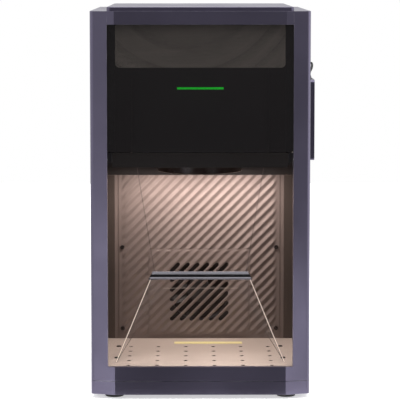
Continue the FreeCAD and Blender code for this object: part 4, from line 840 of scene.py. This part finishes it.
def add_fan_rotor():
    """A hub with seven cambered blades that flatten towards their tips."""
    low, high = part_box("exhaust_fan_rotor")
    centre = Vector(((low.x + high.x) / 2, 0, (low.z + high.z) / 2))
    front, rear = low.y, high.y
    middle = (front + rear) / 2
    tip = (high.z - low.z) / 2
    hub, edge, dish = 18 * MM, 1.6 * MM, 0.5 * MM
    blades, cells = 7, 8
    blade_thick, blade_camber, sweep = 1.5 * MM, 1.6 * MM, 0.25
    root_pitch, pitch_loss = 38, 14
    root_chord, chord_gain = 26, 20

    def blade_point(start, side, j, i):
        share = j / cells
        radius = hub - 0.4 * MM + (tip - hub + 0.2 * MM) * share
        pitch = math.radians(root_pitch - pitch_loss * share)
        chord = (root_chord + chord_gain * share) * MM
        along = i / cells - 0.5
        camber = blade_camber * (1 - 4 * along * along)
        thick = side * blade_thick * max(0.12, 1 - (2 * along) ** 2) ** 0.5
        aside = chord * along * math.cos(pitch) - (camber + thick) * math.sin(pitch)
        y = middle + chord * along * math.sin(pitch) + (camber + thick) * math.cos(pitch)
        angle = start + sweep * share + aside / radius
        return (centre.x + radius * math.sin(angle), min(rear, max(front, y)),
                centre.z + radius * math.cos(angle))

    def build(bm):
        deep = rear - front
        profile = [(hub - 0.3 * MM, 0), (hub, 0.5 * MM), (hub, deep - edge),
                   (hub - 0.6 * MM, deep - 0.4 * MM), (hub - edge, deep), (5 * MM, deep),
                   (4 * MM, deep - dish), (0, deep - dish)]
        lathe(bm, profile, (centre.x, rear, centre.z), (0, -1, 0), 48)
        for number in range(blades):
            start = 2 * math.pi * number / blades
            sheets = [[[bm.verts.new(blade_point(start, side, j, i)) for i in range(cells + 1)]
                       for j in range(cells + 1)] for side in (-0.5, 0.5)]
            for grid, turned in zip(sheets, (False, True)):
                for j in range(cells):
                    for i in range(cells):
                        quad = (grid[j][i], grid[j][i + 1], grid[j + 1][i + 1], grid[j + 1][i])
                        bm.faces.new(reversed(quad) if turned else quad)
            under, over = sheets
            rim = rim_of(cells, cells)
            for (j, i), (next_j, next_i) in zip(rim, rim[1:] + rim[:1]):
                bm.faces.new((under[j][i], over[j][i], over[next_j][next_i],
                              under[next_j][next_i]))

    finish_piece("bladed_rotor", mesh_from("bladed_rotor", build), "black_plastic",
                 "exhaust_fan_rotor", smooth=40)


def add_spigot():
    """A hose spigot on a thin flange, with four shallow grooves and a rounded mouth."""
    low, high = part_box("exhaust_spigot")
    centre = ((low.x + high.x) / 2, low.y, (low.z + high.z) / 2)
    flange = (high.z - low.z) / 2
    length = high.y - low.y
    pipe, wall, sheet = 37 * MM, 2 * MM, 3 * MM
    groove_depth, groove_foot, groove_mouth = 0.7 * MM, 0.4 * MM, 1.2 * MM

    def build(bm):
        profile = [(pipe - wall, 0), (flange - 0.6 * MM, 0), (flange, 0.6 * MM),
                   (flange, sheet - 0.8 * MM), (flange - 0.8 * MM, sheet),
                   (pipe + 2.5 * MM, sheet), (pipe + 0.6 * MM, sheet + 0.6 * MM),
                   (pipe, sheet + 2.5 * MM)]
        for share in (0.34, 0.46, 0.58, 0.70):
            level = length * share
            profile += [(pipe, level - groove_mouth), (pipe - groove_depth, level - groove_foot),
                        (pipe - groove_depth, level + groove_foot), (pipe, level + groove_mouth)]
        profile += [(pipe, length - 2.2 * MM), (pipe - 0.9 * MM, length - 0.5 * MM),
                    (pipe - 1.3 * MM, length), (pipe - wall, length - 0.3 * MM),
                    (pipe - wall, 0)]
        turned_tube(bm, profile, centre, (0, 1, 0), 72)

    finish_piece("ribbed_spigot", mesh_from("ribbed_spigot", build), "black_plastic",
                 "exhaust_spigot", smooth=30)


def add_lens_ring():
    """A turned ring with fine grooves round its outside and a stepped bore."""
    low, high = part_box("lens_ring")
    centre = ((low.x + high.x) / 2, (low.y + high.y) / 2, low.z)
    r = (high.x - low.x) / 2
    tall = high.z - low.z
    mouth, bore, lip = 34 * MM, 36.2 * MM, 2.0 * MM
    groove_pitch, groove_depth = 1.2 * MM, 0.35 * MM

    def build(bm):
        profile = [(mouth, 1.0 * MM), (34.8 * MM, 0.2 * MM), (41 * MM, 0.9 * MM),
                   (50 * MM, 0.9 * MM), (51 * MM, 0.0), (r - 1.4 * MM, 0.0),
                   (r - 0.4 * MM, 0.5 * MM), (r, 1.3 * MM)]
        level = 2.0 * MM
        while level < tall - 2.0 * MM:
            profile += [(r, level), (r - groove_depth, level + 0.25 * MM),
                        (r - groove_depth, level + 0.55 * MM), (r, level + 0.8 * MM)]
            level += groove_pitch
        profile += [(r, tall - 0.4 * MM), (r - 0.4 * MM, tall), (bore, tall), (bore, lip),
                    (mouth, lip), (mouth, 1.0 * MM)]
        turned_tube(bm, profile, centre, (0, 0, 1), 96)

    finish_piece("turned_lens_ring", mesh_from("turned_lens_ring", build), "dark_metal",
                 "lens_ring", smooth=30)


def add_cable_boots():
    """Tapered strain reliefs at both ends of the controller's cable."""
    socket_low, socket_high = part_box("cable_socket")
    _, housing_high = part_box("controller_housing")
    collar, ribs = 0.8 * MM, 4
    tip, end = 1.9 * MM, 1.7 * MM
    lower_end = (158 * MM, -1 * MM)

    def boot(bm, centre, axis, base, length):
        profile = [(0, 0), (base, 0), (base, collar)]
        for i in range(ribs):
            r = base + (tip - base) * ((i + 1) / ribs)
            z = collar + (length - collar) * (i + 0.35) / ribs
            profile += [(r + 0.25 * MM, z), (r + 0.25 * MM, z + 0.5 * MM),
                        (r - 0.15 * MM, z + 0.7 * MM)]
        profile += [(end, length), (0, length)]
        lathe(bm, profile, centre, axis, 24)

    def build(bm):
        middle = (socket_low + socket_high) / 2
        boot(bm, (socket_high.x, middle.y, middle.z), (1, 0, 0), 3.4 * MM, 4.5 * MM)
        boot(bm, (*lower_end, housing_high.z), (0, 0, 1), 3.2 * MM, 5.5 * MM)

    finish_piece("cable_boots", mesh_from("cable_boots", build), "rubber", body="cabinet",
                 smooth=35)


add_screws()
add_feet()
add_hole_rims()
add_lead_screw()
add_fan_rotor()
add_spigot()
add_lens_ring()
add_cable_boots()


# The stage: a pale floor, a room of soft light and the lights of the chamber

FLOOR_HALF = 1.2
FLOOR_NEAR, FLOOR_FAR = -0.215, 3


def stage_floor():
    """A pale floor from just in front of the feet backwards, which lights its own shadows."""
    def build(bm):
        bm.faces.new([bm.verts.new(corner) for corner in (
            (-FLOOR_HALF, FLOOR_NEAR, 0), (FLOOR_HALF, FLOOR_NEAR, 0),
            (FLOOR_HALF, FLOOR_FAR, 0), (-FLOOR_HALF, FLOOR_FAR, 0))])

    mesh = mesh_from("floor", build)
    floor = bpy.data.objects.new("floor", mesh)
    bpy.context.collection.objects.link(floor)
    n = Nodes("pale_floor")
    cloud = n.ramp(n.noise(2, 3), 0, 1)
    n.link(n.mix(cloud, (0.93, 0.93, 0.93), (0.95, 0.95, 0.95)), n.shader.inputs["Base Color"])
    n.set(Roughness=0.8, Emission_Strength=0.5)
    n.shader.inputs["Emission Color"].default_value = (1, 1, 1, 1)
    mesh.materials.append(n.material)


def area_light(name, place, target, size, power, color=(1, 1, 1)):
    data = bpy.data.lights.new(name, "AREA")
    data.shape = "RECTANGLE"
    data.size, data.size_y = size
    data.energy = power
    data.color = color
    light = bpy.data.objects.new(name, data)
    light.location = place
    toward = Vector(target) - Vector(place)
    light.rotation_euler = toward.to_track_quat("-Z", "Y").to_euler()
    bpy.context.collection.objects.link(light)
    light.visible_camera = False
    return light


def add_studio():
    """A room that is bright overhead, behind and at the sides, and dim in front and below. The
    camera itself sees it as white."""
    world = bpy.data.worlds.new("studio")
    world.use_nodes = True
    tree = world.node_tree
    tree.nodes.clear()

    def add(kind, **settings):
        node = tree.nodes.new(kind)
        for key, value in settings.items():
            setattr(node, key, value)
        return node

    def spread(value, start, end, low, high):
        node = add("ShaderNodeMapRange", interpolation_type="SMOOTHSTEP")
        for key, number in (("From Min", start), ("From Max", end),
                            ("To Min", low), ("To Max", high)):
            node.inputs[key].default_value = number
        tree.links.new(value, node.inputs["Value"])
        return node.outputs[0]

    def brighter(first, second):
        node = add("ShaderNodeMath", operation="MAXIMUM")
        for socket, value in zip(node.inputs, (first, second)):
            tree.links.new(value, socket)
        return node.outputs[0]

    parts = add("ShaderNodeSeparateXYZ")
    tree.links.new(add("ShaderNodeTexCoord").outputs["Generated"], parts.inputs[0])
    x, y, z = parts.outputs
    # Each grows smoothly along one axis between the first two numbers, to its full strength
    left = spread(x, -0.30, -0.75, 0.0, 1.25)
    right = spread(x, 0.60, 1.0, 0.0, 2.4)
    above = spread(z, 0.25, 0.85, 0.0, 1.3)
    behind = spread(y, -0.1, 0.5, 0.0, 0.9)
    # The rest is dim, and nearly dark below the horizon
    rest = spread(z, -0.02, -0.20, 0.26, 0.02)
    glow = brighter(brighter(brighter(left, right), brighter(above, behind)), rest)
    seen = add("ShaderNodeLightPath").outputs["Is Camera Ray"]
    strength = brighter(glow, seen)
    background = add("ShaderNodeBackground")
    background.inputs["Color"].default_value = (1, 1, 1, 1)
    tree.links.new(strength, background.inputs["Strength"])
    tree.links.new(background.outputs[0], add("ShaderNodeOutputWorld").inputs["Surface"])
    bpy.context.scene.world = world
    bpy.context.scene.view_settings.view_transform = "Standard"
    area_light("top_soft", (0, -0.3, 2.6), (0, 0, 0.4), (2.4, 2.4), 60)
    # Two low strips, which light the lower corners of the front
    area_light("left_strip", (-0.40, -0.60, 0.02), (-0.13, -0.19, 0.02), (0.12, 0.40), 0.42)
    area_light("right_strip", (0.40, -0.60, -0.02), (0.13, -0.19, -0.02), (0.12, 0.24), 0.32)


CHAMBER_WARM = (1.0, 0.84, 0.77)


def add_chamber_lights():
    """One light over the back wall and a narrow one under the front bar."""
    bar_low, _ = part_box("light_bars")
    wall_low, wall_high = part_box("back_wall")
    area_light("chamber_rear", (0, wall_low.y - 56 * MM, wall_high.z + 12 * MM),
               (0, wall_low.y - 50 * MM, wall_low.z), (0.21, 0.02), 0.80, CHAMBER_WARM)
    front = area_light("chamber_front", (0, bar_low.y + 14 * MM, bar_low.z - 22 * MM),
                       (0, bar_low.y + 10 * MM, 0), (0.26, 0.03), 0.12, CHAMBER_WARM)
    front.data.spread = math.radians(80)


stage_floor()
add_studio()
add_chamber_lights()
